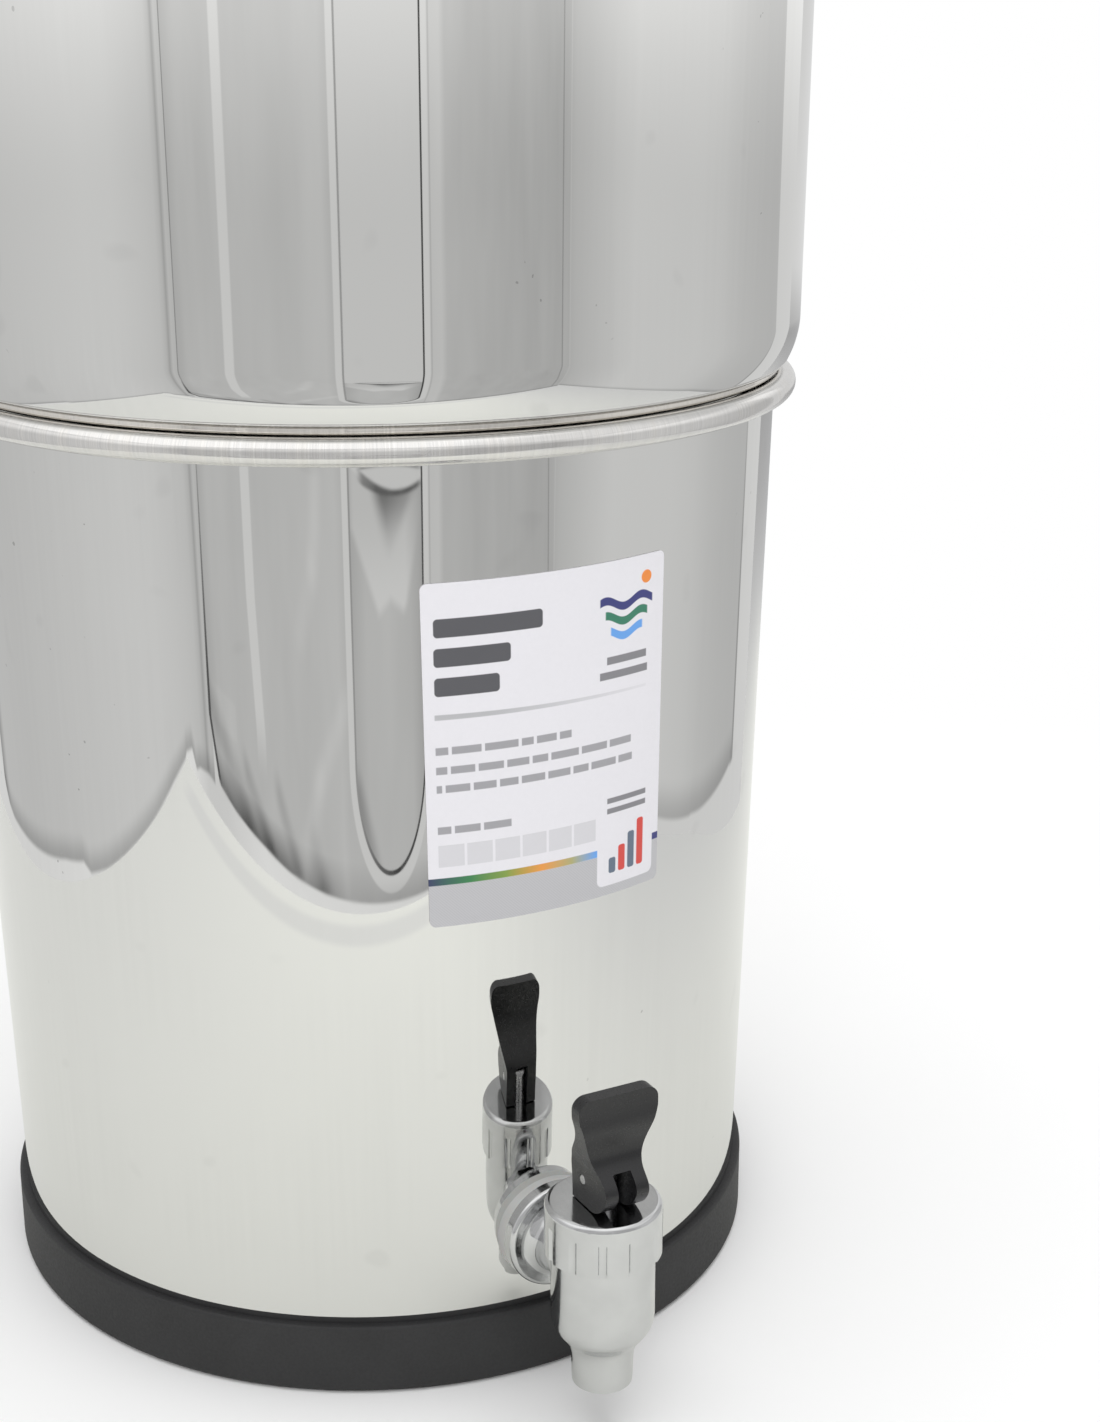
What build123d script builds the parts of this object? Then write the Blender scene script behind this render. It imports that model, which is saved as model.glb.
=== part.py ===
"""Gravity water filter: two stacked stainless chambers, filter candles, lid and tap.

Millimetres, +Z up. The origin is on the vessels' axis, at the ground. The tap and the
label face -Y.
"""
from build123d import *
from math import asin, atan, cos, degrees, radians, sin, sqrt
import os

os.makedirs("parts", exist_ok=True)

# ---- driving dimensions -------------------------------------------------------------

# drawn chambers
sheet = 1.0                     # stainless sheet of both chambers
rim_tube_radius = 3.1           # outside radius of the rolled rim's tube
rim_curl_angle = 270.0          # how far the sheet rolls round the rim, degrees
lower_mouth_radius = 100.8      # inside of the lower chamber where its rim begins
lower_rim_height = 228.0        # centre of the lower rolled rim
lower_draft = 0.025             # radius gained for each millimetre of height
lower_corner_radius = 14.0
foot_height = 6.0               # underside of the lower chamber
floor_panel_radius = 62.0       # raised middle of the lower chamber's floor
floor_panel_rise = 3.0
floor_panel_slope = 6.0

upper_rim_height = 440.0
upper_draft = 0.010
spigot_clearance = 0.6          # spigot of the upper chamber in the lower mouth
spigot_draft = 0.05
spigot_depth = 13.0             # underside of the upper floor below the lower rim's centre
spigot_corner_radius = 6.0
spigot_neck_fillet = 0.7
seat_bead_radius = 1.4          # small bead that sits on the lower rim
seat_bead_inset = 2.2           # its centre inside the rim's centre line
seat_gap = 0.3
bead_neck = 1.93                # height of the bead from its underside to the crease
crease_fillet = 0.3
crease_run = 0.6
turn_radius = 2.1               # tight turn from the crease into the shoulder
turn_start = 75.0               # degrees below level where the turn begins
shoulder_start = 28.0           # degrees below level where the shoulder begins
shoulder_radius = 22.7

# rubber base ring
ring_inner_radius = 78.0
ring_height = 18.0
ring_wall = 2.2
ring_fillet = 2.0

# label
label_width = 60.0
label_height = 79.3
label_top_drop = 28.5           # top edge below the lower rim's centre
label_corner_radius = 3.0
label_thickness = 0.2
label_adhesive = 0.08           # film stands off the wall by its adhesive
label_tilt = 0.9                # degrees

# filter candles and blanking plugs
filter_circle_radius = 46.0     # candles and plugs stand on this circle
floor_hole_radius = 5.5
filter_stem_radius = 5.0
seal_thickness = 2.0
seal_radius = 11.0
candle_radius = 25.0
candle_length = 172.0
candle_wall = 8.0
candle_dome_radius = 20.0
mount_wall = 2.0
mount_base = 3.0
mount_height = 13.0
mount_stem_length = 19.0        # below the upper chamber's floor
mount_bore_radius = 2.5
mount_rib_count = 8
plug_head_radius = 10.0
plug_head_height = 4.5
plug_edge_height = 1.5          # upright edge of the head, below its dome
plug_stem_length = 15.0
nut_radius = 8.5
nut_height = 9.0
wing_span = 17.0
wing_thickness = 3.0
wing_height = 13.0
wing_step = 4.3                 # the wings start this far below the floor
wing_corner_radius = 4.3

# lid
lid_sheet = 0.8
lid_seat_gap = 0.3
lid_clearance = 0.5             # locating groove in the mouth
lid_groove_depth = 4.0          # top of the groove's floor below the rim's centre
lid_groove_width = 8.0
lid_groove_bend = 2.0
lid_mouth_bend = 1.2            # where the lid turns out over the rim
lid_skirt_bend = 2.4
lid_skirt_clearance = 0.9
lid_skirt_drop = 1.5
lid_dome_rise = 18.0            # above the rim's centre
lid_flat_radius = 12.0
lid_dome_edge = 1.5             # where the dome meets the groove
knob_foot_radius = 9.0
knob_waist_radius = 6.5
knob_waist_height = 6.0
knob_head_radius = 17.0
knob_edge_height = 14.0         # underside of the head's edge
knob_edge_thickness = 3.5
knob_edge_fillet = 1.5
knob_height = 23.5
screw_radius = 2.0
screw_head_radius = 4.0
screw_head_height = 2.6
screw_head_chamfer = 0.9
screw_grip = 12.0               # length of the screw in the knob
knob_washer_radius = 7.0
knob_washer_thickness = 1.0

# tap
tap_height = 38.0               # centre of the shank
shank_radius = 7.9
tap_hole_clearance = 0.35
shank_inside = 20.0             # length of the shank inside the wall
shank_bore_radius = 4.0
washer_radius = 13.0
washer_thickness = 2.5
inner_washer_radius = 11.5
inner_washer_thickness = 3.2
backnut_across_flats = 24.0
backnut_length = 8.0
flange_radius = 13.0
flange_thickness = 3.5
flange_fillet = 1.2
neck_radius = 7.5
neck_length = 24.0              # from the flange's face to the barrel's axis
neck_fillet = 3.0
barrel_radius = 12.0
barrel_floor = 29.0
barrel_shoulder = 46.0
barrel_top = 53.0
barrel_thread_radius = 11.0
barrel_skirt = 1.0              # straight run of the barrel above the spout's curve
chamber_radius = 9.0
valve_seat_height = 1.0
valve_seat_radius = 6.0
outlet_radius = 4.5
spout_tip = 12.0
spout_tip_radius = 7.0
spout_root = 22.2               # height where the spout's curve turns down
spout_root_radius = 8.2
gasket_thickness = 1.2
bonnet_radius = 13.5
bonnet_cap = 4.3
bonnet_fillet = 1.4
bonnet_flute_count = 12
bonnet_flute_radius = 1.2
bonnet_flute_depth = 0.6
stem_radius = 3.2
stem_fit = 0.05
tongue_thickness = 4.0
tongue_run = 0.8                # tongue left in the bonnet's bore at full lift
stem_foot_radius = 4.5
stem_foot_thickness = 1.5
cup_radius = 7.4
cup_thickness = 5.0
cup_hub_radius = 5.6
cup_hub_height = 3.0
cup_skin = 1.5
cup_chamfer = 1.0
valve_gap = 0.3
spring_radius = 6.5
spring_wire = 1.0               # square wire
spring_turns = 4
pin_radius = 1.25
pin_fit = 0.05
pin_chamfer = 0.25
stem_lift = 4.0
lever_travel = 65.0             # degrees
cam_base_radius = 6.0
cam_clearance = 0.3
lever_slot_clearance = 0.3
ear_thickness = 3.2
lever_headroom = 1.0            # between the stem's round top and the lever's slot
lever_neck_front = 4.8          # before the pivot
lever_neck_back = 4.5           # behind the pivot
lever_throat = 1.2              # bulge of the front edge above the cam
lever_throat_height = 6.5
lever_shoulder_height = 5.0
lever_shoulder_radius = 6.0
lever_reach = 23.0              # above the pivot
paddle_half_width = 10.0
paddle_thickness = 3.6
paddle_root_height = 14.3
paddle_swell = 0.8              # the paddle's foot is thicker by this
paddle_corner_radius = 3.0
paddle_lean = 5.0               # how far the paddle's top leans forward


# ---- rims and walls -----------------------------------------------------------------

def rolled_rim(centre, taper):
    """Section of a rolled rim: the sheet turns outward and back towards its own wall."""
    with BuildSketch() as section:
        with BuildLine():
            outside = CenterArc(centre, rim_tube_radius, 180 - taper, -rim_curl_angle)
            inside = CenterArc(
                centre, rim_tube_radius - sheet, 180 - taper, -rim_curl_angle
            )
            Line(outside @ 0, inside @ 0)
            Line(outside @ 1, inside @ 1)
        make_face()
    return section.sketch


def wall_top(foot_point, rim_height, draft):
    """Top of an outside wall line from foot_point, and the centre of its rolled rim."""
    slant = atan(draft)
    rise = rim_height - foot_point[1] + (rim_tube_radius - sheet) * sin(slant)
    top = (foot_point[0] + rise * draft, foot_point[1] + rise)
    centre = (top[0] + (rim_tube_radius - sheet) * cos(slant),
              top[1] - (rim_tube_radius - sheet) * sin(slant))
    return top, centre


lower_taper = degrees(atan(lower_draft))
upper_taper = degrees(atan(upper_draft))
wall_run = sheet / cos(radians(lower_taper))    # the lower wall's sheet, measured level


def lower_outside(height):
    """Outside radius of the lower chamber's wall at a height."""
    rim_radius = lower_mouth_radius + wall_run
    return rim_radius - lower_draft * (lower_rim_height - height)


lower_foot = (lower_outside(foot_height), foot_height)
lower_wall_top, lower_rim_centre = wall_top(lower_foot, lower_rim_height, lower_draft)
lower_rim = rolled_rim(lower_rim_centre, lower_taper)

# ---- lower chamber ------------------------------------------------------------------

with BuildPart() as lower_envelope:
    with BuildSketch(Plane.XZ):
        Polygon(
            (0, foot_height), lower_foot, lower_wall_top, (0, lower_wall_top[1]),
            align=None,
        )
        fillet(vertices().sort_by_distance(lower_foot)[0], lower_corner_radius)
    revolve(axis=Axis.Z)

with BuildPart() as lower_inside:
    with BuildSketch(Plane.XZ):
        Polygon(
            (0, foot_height), (lower_foot[0] - wall_run, foot_height),
            (lower_wall_top[0] - wall_run, lower_wall_top[1]), (0, lower_wall_top[1]),
            align=None,
        )
    revolve(axis=Axis.Z)

with BuildPart() as lower_chamber:
    with BuildSketch(Plane.XZ):
        with BuildLine():
            FilletPolyline(
                (0, foot_height + floor_panel_rise),
                (floor_panel_radius, foot_height + floor_panel_rise),
                (floor_panel_radius + floor_panel_slope, foot_height),
                lower_foot,
                lower_wall_top,
                radius=[floor_panel_rise, floor_panel_rise, lower_corner_radius],
            )
            offset(amount=sheet, side=Side.LEFT)
        make_face()
        add(lower_rim)
    revolve(axis=Axis.Z)
    with BuildSketch(Plane.XZ):
        with Locations((0, tap_height)):
            Circle(shank_radius + tap_hole_clearance)
    extrude(amount=lower_rim_centre[0], mode=Mode.SUBTRACT)

lower_chamber.part.label = "lower_chamber"
export_step(lower_chamber.part, "parts/lower_chamber.step")

# ---- base ring ----------------------------------------------------------------------

ring_outer_radius = lower_outside(ring_height) + ring_wall

with BuildPart() as base_ring:
    with BuildSketch(Plane.XZ):
        Polygon(
            (ring_inner_radius, 0), (ring_outer_radius, 0),
            (ring_outer_radius, ring_height), (ring_inner_radius, ring_height),
            align=None,
        )
        fillet(vertices().sort_by_distance((ring_outer_radius, 0))[0], ring_fillet)
    revolve(axis=Axis.Z)
    add(lower_envelope.part, mode=Mode.SUBTRACT)

base_ring.part.label = "base_ring"
export_step(base_ring.part, "parts/base_ring.step")

# ---- label --------------------------------------------------------------------------

label_middle = lower_rim_height - label_top_drop - label_height / 2
label_low = label_middle - label_height
label_high = label_middle + label_height
label_chord = 2 * lower_outside(label_middle) * sin(
    label_width / 2 / lower_outside(label_middle)
)


def label_inside(height):
    """Radius of the film's back at a height."""
    return lower_outside(height) + label_adhesive


with BuildPart() as label:
    with BuildSketch(Plane.XZ):
        Polygon(
            (label_inside(label_low), label_low),
            (label_inside(label_low) + label_thickness, label_low),
            (label_inside(label_high) + label_thickness, label_high),
            (label_inside(label_high), label_high),
            align=None,
        )
    revolve(axis=Axis.Z)
    with BuildSketch(Plane.XZ):
        with Locations(Location((0, label_middle), label_tilt)):
            RectangleRounded(label_chord, label_height, label_corner_radius)
    extrude(amount=lower_rim_centre[0], mode=Mode.INTERSECT)

label.part.label = "label"
export_step(label.part, "parts/label.step")

# ---- upper chamber ------------------------------------------------------------------

upper_floor = lower_rim_height - spigot_depth
upper_floor_top = upper_floor + sheet
seat_reach = rim_tube_radius + seat_gap + seat_bead_radius
bead_centre = (
    lower_rim_centre[0] - seat_bead_inset,
    lower_rim_height + sqrt(seat_reach**2 - seat_bead_inset**2),
)
bead_underside = bead_centre[1] - seat_bead_radius
bead_outside = bead_centre[0] + seat_bead_radius
crease = (bead_outside, bead_underside + bead_neck)
spigot_top_radius = lower_mouth_radius - spigot_clearance
spigot_foot_radius = spigot_top_radius - spigot_draft * (bead_underside - upper_floor)


def on_circle(centre, radius, degrees_below):
    """Point of a circle at an angle below level, on its outer side."""
    angle = radians(degrees_below)
    return (centre[0] + radius * cos(angle), centre[1] - radius * sin(angle))


turn_foot = (
    crease[0] + crease_run * sin(radians(turn_start)),
    crease[1] + crease_run * cos(radians(turn_start)),
)
turn_centre = on_circle(turn_foot, -turn_radius, turn_start)
shoulder_centre = on_circle(turn_centre, turn_radius - shoulder_radius, shoulder_start)
upper_foot = on_circle(shoulder_centre, shoulder_radius, upper_taper)
upper_wall_top, upper_rim_centre = wall_top(upper_foot, upper_rim_height, upper_draft)
upper_rim = rolled_rim(upper_rim_centre, upper_taper)

with BuildPart() as upper_chamber:
    with BuildSketch(Plane.XZ):
        with BuildLine():
            FilletPolyline(
                (0, upper_floor),
                (spigot_foot_radius, upper_floor),
                (spigot_top_radius, bead_underside),
                (bead_outside, bead_underside),
                crease,
                turn_foot,
                radius=[
                    spigot_corner_radius, spigot_neck_fillet, seat_bead_radius, crease_fillet,
                ],
            )
            turn = CenterArc(
                turn_centre, turn_radius, -turn_start, turn_start - shoulder_start
            )
            shoulder = CenterArc(
                shoulder_centre, shoulder_radius, -shoulder_start,
                shoulder_start - upper_taper,
            )
            Line(shoulder @ 1, upper_wall_top)
            offset(amount=sheet, side=Side.LEFT)
        make_face()
        add(upper_rim)
    revolve(axis=Axis.Z)
    with BuildSketch(Plane.XY.offset(upper_floor)):
        with PolarLocations(filter_circle_radius, 4):
            Circle(floor_hole_radius)
    extrude(amount=sheet, mode=Mode.SUBTRACT)

upper_chamber.part.label = "upper_chamber"
export_step(upper_chamber.part, "parts/upper_chamber.step")

# ---- filter candles and blanking plugs ----------------------------------------------

seal_top = upper_floor_top + seal_thickness


def crown(run, drop):
    """Radius and angle of the arc that leaves the axis level and falls by drop over run."""
    radius = (run**2 + drop**2) / (2 * drop)
    return radius, degrees(asin(run / radius))


def upright(x, y):
    """Vertical plane through a filter's own axis, and that axis."""
    section = Plane(origin=(x, y, 0), x_dir=(1, 0, 0), z_dir=(0, -1, 0))
    return section, Axis((x, y, 0), (0, 0, 1))


def make_seal(x, y, name):
    """Flat rubber washer under a mount or a plug, on the floor."""
    with BuildPart() as seal:
        with BuildSketch(Plane((x, y, upper_floor_top))):
            Circle(seal_radius)
            Circle(filter_stem_radius, mode=Mode.SUBTRACT)
        extrude(amount=seal_thickness)
    seal.part.label = name
    export_step(seal.part, f"parts/{name}.step")


def make_wing_nut(x, y, name):
    """Plastic wing nut below the floor: a hub and two raking wings."""
    section, spindle = upright(x, y)
    with BuildPart() as nut:
        with BuildSketch(section):
            with Locations((0, upper_floor - wing_height)):
                Rectangle(2 * wing_span, wing_height, align=(Align.CENTER, Align.MIN))
            fillet(vertices().group_by(Axis.Y)[0], wing_corner_radius)
            with Locations((0, upper_floor)):
                Rectangle(
                    2 * wing_span, wing_step, align=(Align.CENTER, Align.MAX),
                    mode=Mode.SUBTRACT,
                )
        extrude(amount=wing_thickness / 2, both=True)
        with BuildSketch(Plane((x, y, upper_floor))):
            Circle(nut_radius)
        extrude(amount=-nut_height)
        with BuildSketch(Plane((x, y, upper_floor))):
            Circle(filter_stem_radius)
        extrude(amount=-wing_height, mode=Mode.SUBTRACT)
    nut.part.label = name
    export_step(nut.part, f"parts/{name}.step")


def make_candle(x, y, name):
    """Ceramic candle in its plastic mount, whose hollow stem passes the floor."""
    section, spindle = upright(x, y)
    mount_radius = candle_radius + mount_wall
    cup_floor = seal_top + mount_base
    with BuildPart() as mount:
        with BuildSketch(Plane((x, y, seal_top))):
            Circle(mount_radius)
            with PolarLocations(mount_radius, mount_rib_count):
                Circle(mount_wall / 2)
        extrude(amount=mount_height)
        with BuildSketch(Plane((x, y, cup_floor))):
            Circle(candle_radius)
        extrude(amount=mount_height, mode=Mode.SUBTRACT)
        with BuildSketch(Plane((x, y, seal_top))):
            Circle(filter_stem_radius)
        extrude(amount=-(seal_thickness + sheet + mount_stem_length))
        with BuildSketch(Plane((x, y, cup_floor))):
            Circle(mount_bore_radius)
        extrude(
            amount=-(mount_base + seal_thickness + sheet + mount_stem_length),
            mode=Mode.SUBTRACT,
        )
    mount.part.label = f"{name}_mount"
    export_step(mount.part, f"parts/{name}_mount.step")

    with BuildPart() as ceramic:
        with BuildSketch(section):
            with Locations((0, cup_floor)):
                Rectangle(candle_radius, candle_length, align=(Align.MIN, Align.MIN))
            tip = (candle_radius, cup_floor + candle_length)
            fillet(vertices().sort_by_distance(tip)[0], candle_dome_radius)
            with Locations((0, cup_floor)):
                Rectangle(
                    candle_radius - candle_wall, candle_length - candle_wall,
                    align=(Align.MIN, Align.MIN), mode=Mode.SUBTRACT,
                )
            bore_top = (
                candle_radius - candle_wall, cup_floor + candle_length - candle_wall
            )
            fillet(
                vertices().sort_by_distance(bore_top)[0],
                candle_dome_radius - candle_wall,
            )
        revolve(axis=spindle)
    ceramic.part.label = f"{name}_ceramic"
    export_step(ceramic.part, f"parts/{name}_ceramic.step")


def make_plug(x, y, name):
    """Plug of an unused filter hole: a domed head on a solid stem."""
    section, spindle = upright(x, y)
    plug_foot = upper_floor - plug_stem_length
    plug_top = seal_top + plug_head_height
    plug_dome, plug_angle = crown(plug_head_radius, plug_head_height - plug_edge_height)
    with BuildPart() as plug:
        with BuildSketch(section):
            with BuildLine():
                dome = JernArc((0, plug_top), (1, 0), plug_dome, -plug_angle)
                Polyline(
                    dome @ 1, (plug_head_radius, seal_top), (filter_stem_radius, seal_top),
                    (filter_stem_radius, plug_foot), (0, plug_foot), dome @ 0,
                )
            make_face()
        revolve(axis=spindle)
    plug.part.label = name
    export_step(plug.part, f"parts/{name}.step")


for number, side in enumerate((-1, 1), start=1):
    candle_x = side * filter_circle_radius
    make_candle(candle_x, 0, f"candle_{number}")
    make_seal(candle_x, 0, f"candle_{number}_seal")
    make_wing_nut(candle_x, 0, f"candle_{number}_wing_nut")
    plug_y = side * filter_circle_radius
    make_plug(0, plug_y, f"blanking_plug_{number}")
    make_seal(0, plug_y, f"blanking_plug_{number}_seal")
    make_wing_nut(0, plug_y, f"blanking_plug_{number}_wing_nut")

# ---- lid ----------------------------------------------------------------------------

upper_mouth_radius = upper_rim_centre[0] - rim_tube_radius
lid_locating_radius = upper_mouth_radius - lid_clearance - lid_sheet
lid_skirt_radius = upper_rim_centre[0] + rim_tube_radius + lid_skirt_clearance + lid_sheet
lid_flange = upper_rim_height + rim_tube_radius + lid_seat_gap + lid_sheet
lid_groove = upper_rim_height - lid_groove_depth + lid_sheet
lid_dome_radius = lid_locating_radius - lid_groove_width
lid_top = upper_rim_height + lid_dome_rise
dome_sphere, dome_angle = crown(
    lid_dome_radius - lid_flat_radius, lid_dome_rise - lid_dome_edge
)

with BuildPart() as lid:
    with BuildSketch(Plane.XZ):
        with BuildLine():
            flat = Line((0, lid_top), (lid_flat_radius, lid_top))
            dome = JernArc(flat @ 1, (1, 0), dome_sphere, -dome_angle)
            FilletPolyline(
                dome @ 1,
                (lid_dome_radius + lid_groove_bend, lid_groove),
                (lid_locating_radius, lid_groove),
                (lid_locating_radius, lid_flange),
                (lid_skirt_radius, lid_flange),
                (lid_skirt_radius, upper_rim_height - lid_skirt_drop),
                radius=[lid_groove_bend, lid_groove_bend, lid_mouth_bend, lid_skirt_bend],
            )
            offset(amount=lid_sheet, side=Side.RIGHT)
        make_face()
    revolve(axis=Axis.Z)
    with BuildSketch(Plane.XY.offset(lid_top)):
        Circle(screw_radius)
    extrude(amount=-lid_sheet, mode=Mode.SUBTRACT)

lid.part.label = "lid"
export_step(lid.part, "parts/lid.step")

# ---- lid knob, washer and screw -----------------------------------------------------

knob_top = lid_top + knob_height
knob_edge = lid_top + knob_edge_height
knob_dome, knob_angle = crown(
    knob_head_radius, knob_height - knob_edge_height - knob_edge_thickness
)

with BuildPart() as lid_knob:
    with BuildSketch(Plane.XZ):
        with BuildLine():
            dome = JernArc((0, knob_top), (1, 0), knob_dome, -knob_angle)
            edge = Line(dome @ 1, (knob_head_radius, knob_edge))
            neck = ThreePointArc(
                edge @ 1,
                (knob_waist_radius, lid_top + knob_waist_height),
                (knob_foot_radius, lid_top),
            )
            Polyline(neck @ 1, (0, lid_top), dome @ 0)
        make_face()
        fillet(vertices().sort_by_distance(edge @ 0)[0], knob_edge_fillet)
        fillet(vertices().sort_by_distance(edge @ 1)[0], knob_edge_fillet)
    revolve(axis=Axis.Z)
    with BuildSketch(Plane.XY.offset(lid_top)):
        Circle(screw_radius)
    extrude(amount=screw_grip, mode=Mode.SUBTRACT)

lid_knob.part.label = "lid_knob"
export_step(lid_knob.part, "parts/lid_knob.step")

washer_top = lid_top - lid_sheet
washer_underside = washer_top - knob_washer_thickness

with BuildPart() as lid_knob_washer:
    with BuildSketch(Plane.XY.offset(washer_top)):
        Circle(knob_washer_radius)
        Circle(screw_radius, mode=Mode.SUBTRACT)
    extrude(amount=-knob_washer_thickness)

lid_knob_washer.part.label = "lid_knob_washer"
export_step(lid_knob_washer.part, "parts/lid_knob_washer.step")

with BuildPart() as lid_knob_screw:
    with BuildSketch(Plane.XY.offset(washer_underside)):
        Circle(screw_head_radius)
    extrude(amount=-screw_head_height)
    chamfer(edges().group_by(Axis.Z)[0], screw_head_chamfer)
    with BuildSketch(Plane.XY.offset(washer_underside)):
        Circle(screw_radius)
    extrude(amount=knob_washer_thickness + lid_sheet + screw_grip)

lid_knob_screw.part.label = "lid_knob_screw"
export_step(lid_knob_screw.part, "parts/lid_knob_screw.step")

# ---- tap: body and wall fittings ----------------------------------------------------

wall_face = lower_outside(tap_height)
inner_wall_face = wall_face - sheet
flange_face = wall_face + washer_thickness
barrel_axis_reach = flange_face + neck_length
shank_end = inner_wall_face - shank_inside
tap_plane = Plane(origin=(0, 0, tap_height), x_dir=(1, 0, 0), z_dir=(0, -1, 0))
shank_section = Plane(origin=(0, 0, tap_height), x_dir=(0, -1, 0), z_dir=(-1, 0, 0))
barrel_section = Plane(origin=(0, -barrel_axis_reach, 0), x_dir=(1, 0, 0), z_dir=(0, -1, 0))
barrel_axis = Axis((0, -barrel_axis_reach, 0), (0, 0, 1))


def barrel_plane(height):
    """Level plane centred on the barrel's axis."""
    return Plane((0, -barrel_axis_reach, height))


with BuildPart() as tap_outer_washer:
    with BuildSketch(tap_plane.offset(flange_face)):
        Circle(washer_radius)
        Circle(shank_radius, mode=Mode.SUBTRACT)
    extrude(amount=-2 * washer_thickness)
    add(lower_envelope.part, mode=Mode.SUBTRACT)

tap_outer_washer.part.label = "tap_outer_washer"
export_step(tap_outer_washer.part, "parts/tap_outer_washer.step")

inner_washer_face = inner_wall_face - inner_washer_thickness

with BuildPart() as tap_inner_washer:
    with BuildSketch(tap_plane.offset(inner_washer_face)):
        Circle(inner_washer_radius)
        Circle(shank_radius, mode=Mode.SUBTRACT)
    extrude(amount=2 * inner_washer_thickness)
    add(lower_inside.part, mode=Mode.INTERSECT)

tap_inner_washer.part.label = "tap_inner_washer"
export_step(tap_inner_washer.part, "parts/tap_inner_washer.step")

with BuildPart() as tap_backnut:
    with BuildSketch(tap_plane.offset(inner_washer_face)):
        RegularPolygon(backnut_across_flats / 2, 6, major_radius=False)
        Circle(shank_radius, mode=Mode.SUBTRACT)
    extrude(amount=-backnut_length)

tap_backnut.part.label = "tap_backnut"
export_step(tap_backnut.part, "parts/tap_backnut.step")

valve_seat = barrel_floor + valve_seat_height
flange_edge = (flange_face + flange_thickness, flange_radius)
flange_root = (flange_face + flange_thickness, neck_radius)

with BuildPart() as tap_body:
    with BuildSketch(barrel_section):
        with BuildLine():
            Polyline(
                (spout_tip_radius, spout_tip), (0, spout_tip), (0, barrel_top),
                (barrel_thread_radius, barrel_top), (barrel_thread_radius, barrel_shoulder),
                (barrel_radius, barrel_shoulder), (barrel_radius, barrel_floor + barrel_skirt),
            )
            Spline(
                (barrel_radius, barrel_floor + barrel_skirt),
                (spout_root_radius, spout_root),
                (spout_tip_radius, spout_tip),
                tangents=[(0, -1), (-0.1, -1)],
            )
        make_face()
    revolve(axis=barrel_axis)
    with BuildSketch(shank_section):
        Polygon(
            (shank_end, 0), (shank_end, shank_radius), (flange_face, shank_radius),
            (flange_face, flange_radius), flange_edge, flange_root,
            (barrel_axis_reach, neck_radius), (barrel_axis_reach, 0),
            align=None,
        )
        fillet(vertices().sort_by_distance(flange_edge)[0], flange_fillet)
        fillet(vertices().sort_by_distance(flange_root)[0], neck_fillet)
    revolve(axis=Axis((0, 0, tap_height), (0, -1, 0)))
    with BuildSketch(tap_plane.offset(shank_end)):
        Circle(shank_bore_radius)
    extrude(amount=barrel_axis_reach - shank_end, mode=Mode.SUBTRACT)
    with BuildSketch(barrel_section):
        Polygon(
            (0, spout_tip), (outlet_radius, spout_tip), (outlet_radius, valve_seat),
            (valve_seat_radius, valve_seat), (valve_seat_radius, barrel_floor),
            (chamber_radius, barrel_floor), (chamber_radius, barrel_top), (0, barrel_top),
            align=None,
        )
    revolve(axis=barrel_axis, mode=Mode.SUBTRACT)

tap_body.part.label = "tap_body"
export_step(tap_body.part, "parts/tap_body.step")

# ---- tap: bonnet and gasket ---------------------------------------------------------

bonnet_ceiling = barrel_top + gasket_thickness
bonnet_top = bonnet_ceiling + bonnet_cap

with BuildPart() as tap_bonnet_gasket:
    with BuildSketch(barrel_plane(barrel_top)):
        Circle(barrel_thread_radius)
        Circle(chamber_radius, mode=Mode.SUBTRACT)
    extrude(amount=gasket_thickness)

tap_bonnet_gasket.part.label = "tap_bonnet_gasket"
export_step(tap_bonnet_gasket.part, "parts/tap_bonnet_gasket.step")

with BuildPart() as tap_bonnet:
    with BuildSketch(barrel_plane(barrel_shoulder)):
        Circle(bonnet_radius)
    extrude(amount=bonnet_top - barrel_shoulder)
    fillet(edges().group_by(Axis.Z)[-1], bonnet_fillet)
    with BuildSketch(barrel_plane(barrel_shoulder)):
        with PolarLocations(
            bonnet_radius + bonnet_flute_radius - bonnet_flute_depth, bonnet_flute_count
        ):
            Circle(bonnet_flute_radius)
    extrude(amount=bonnet_ceiling - barrel_shoulder, mode=Mode.SUBTRACT)
    with BuildSketch(barrel_plane(barrel_shoulder)):
        Circle(barrel_thread_radius)
    extrude(amount=bonnet_ceiling - barrel_shoulder, mode=Mode.SUBTRACT)
    with BuildSketch(barrel_plane(bonnet_ceiling)):
        Circle(stem_radius + stem_fit)
    extrude(amount=bonnet_cap, mode=Mode.SUBTRACT)

tap_bonnet.part.label = "tap_bonnet"
export_step(tap_bonnet.part, "parts/tap_bonnet.step")

# ---- tap: stem, seat cup and spring -------------------------------------------------

pivot_height = bonnet_top + cam_clearance + cam_base_radius
cup_base = valve_seat + valve_gap
cup_top = cup_base + cup_thickness
stem_foot = cup_base + cup_skin
tongue_base = bonnet_top - stem_lift - tongue_run
pivot_axis_plane = Plane(
    origin=(0, -barrel_axis_reach, pivot_height), x_dir=(0, 1, 0), z_dir=(1, 0, 0)
)

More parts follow.
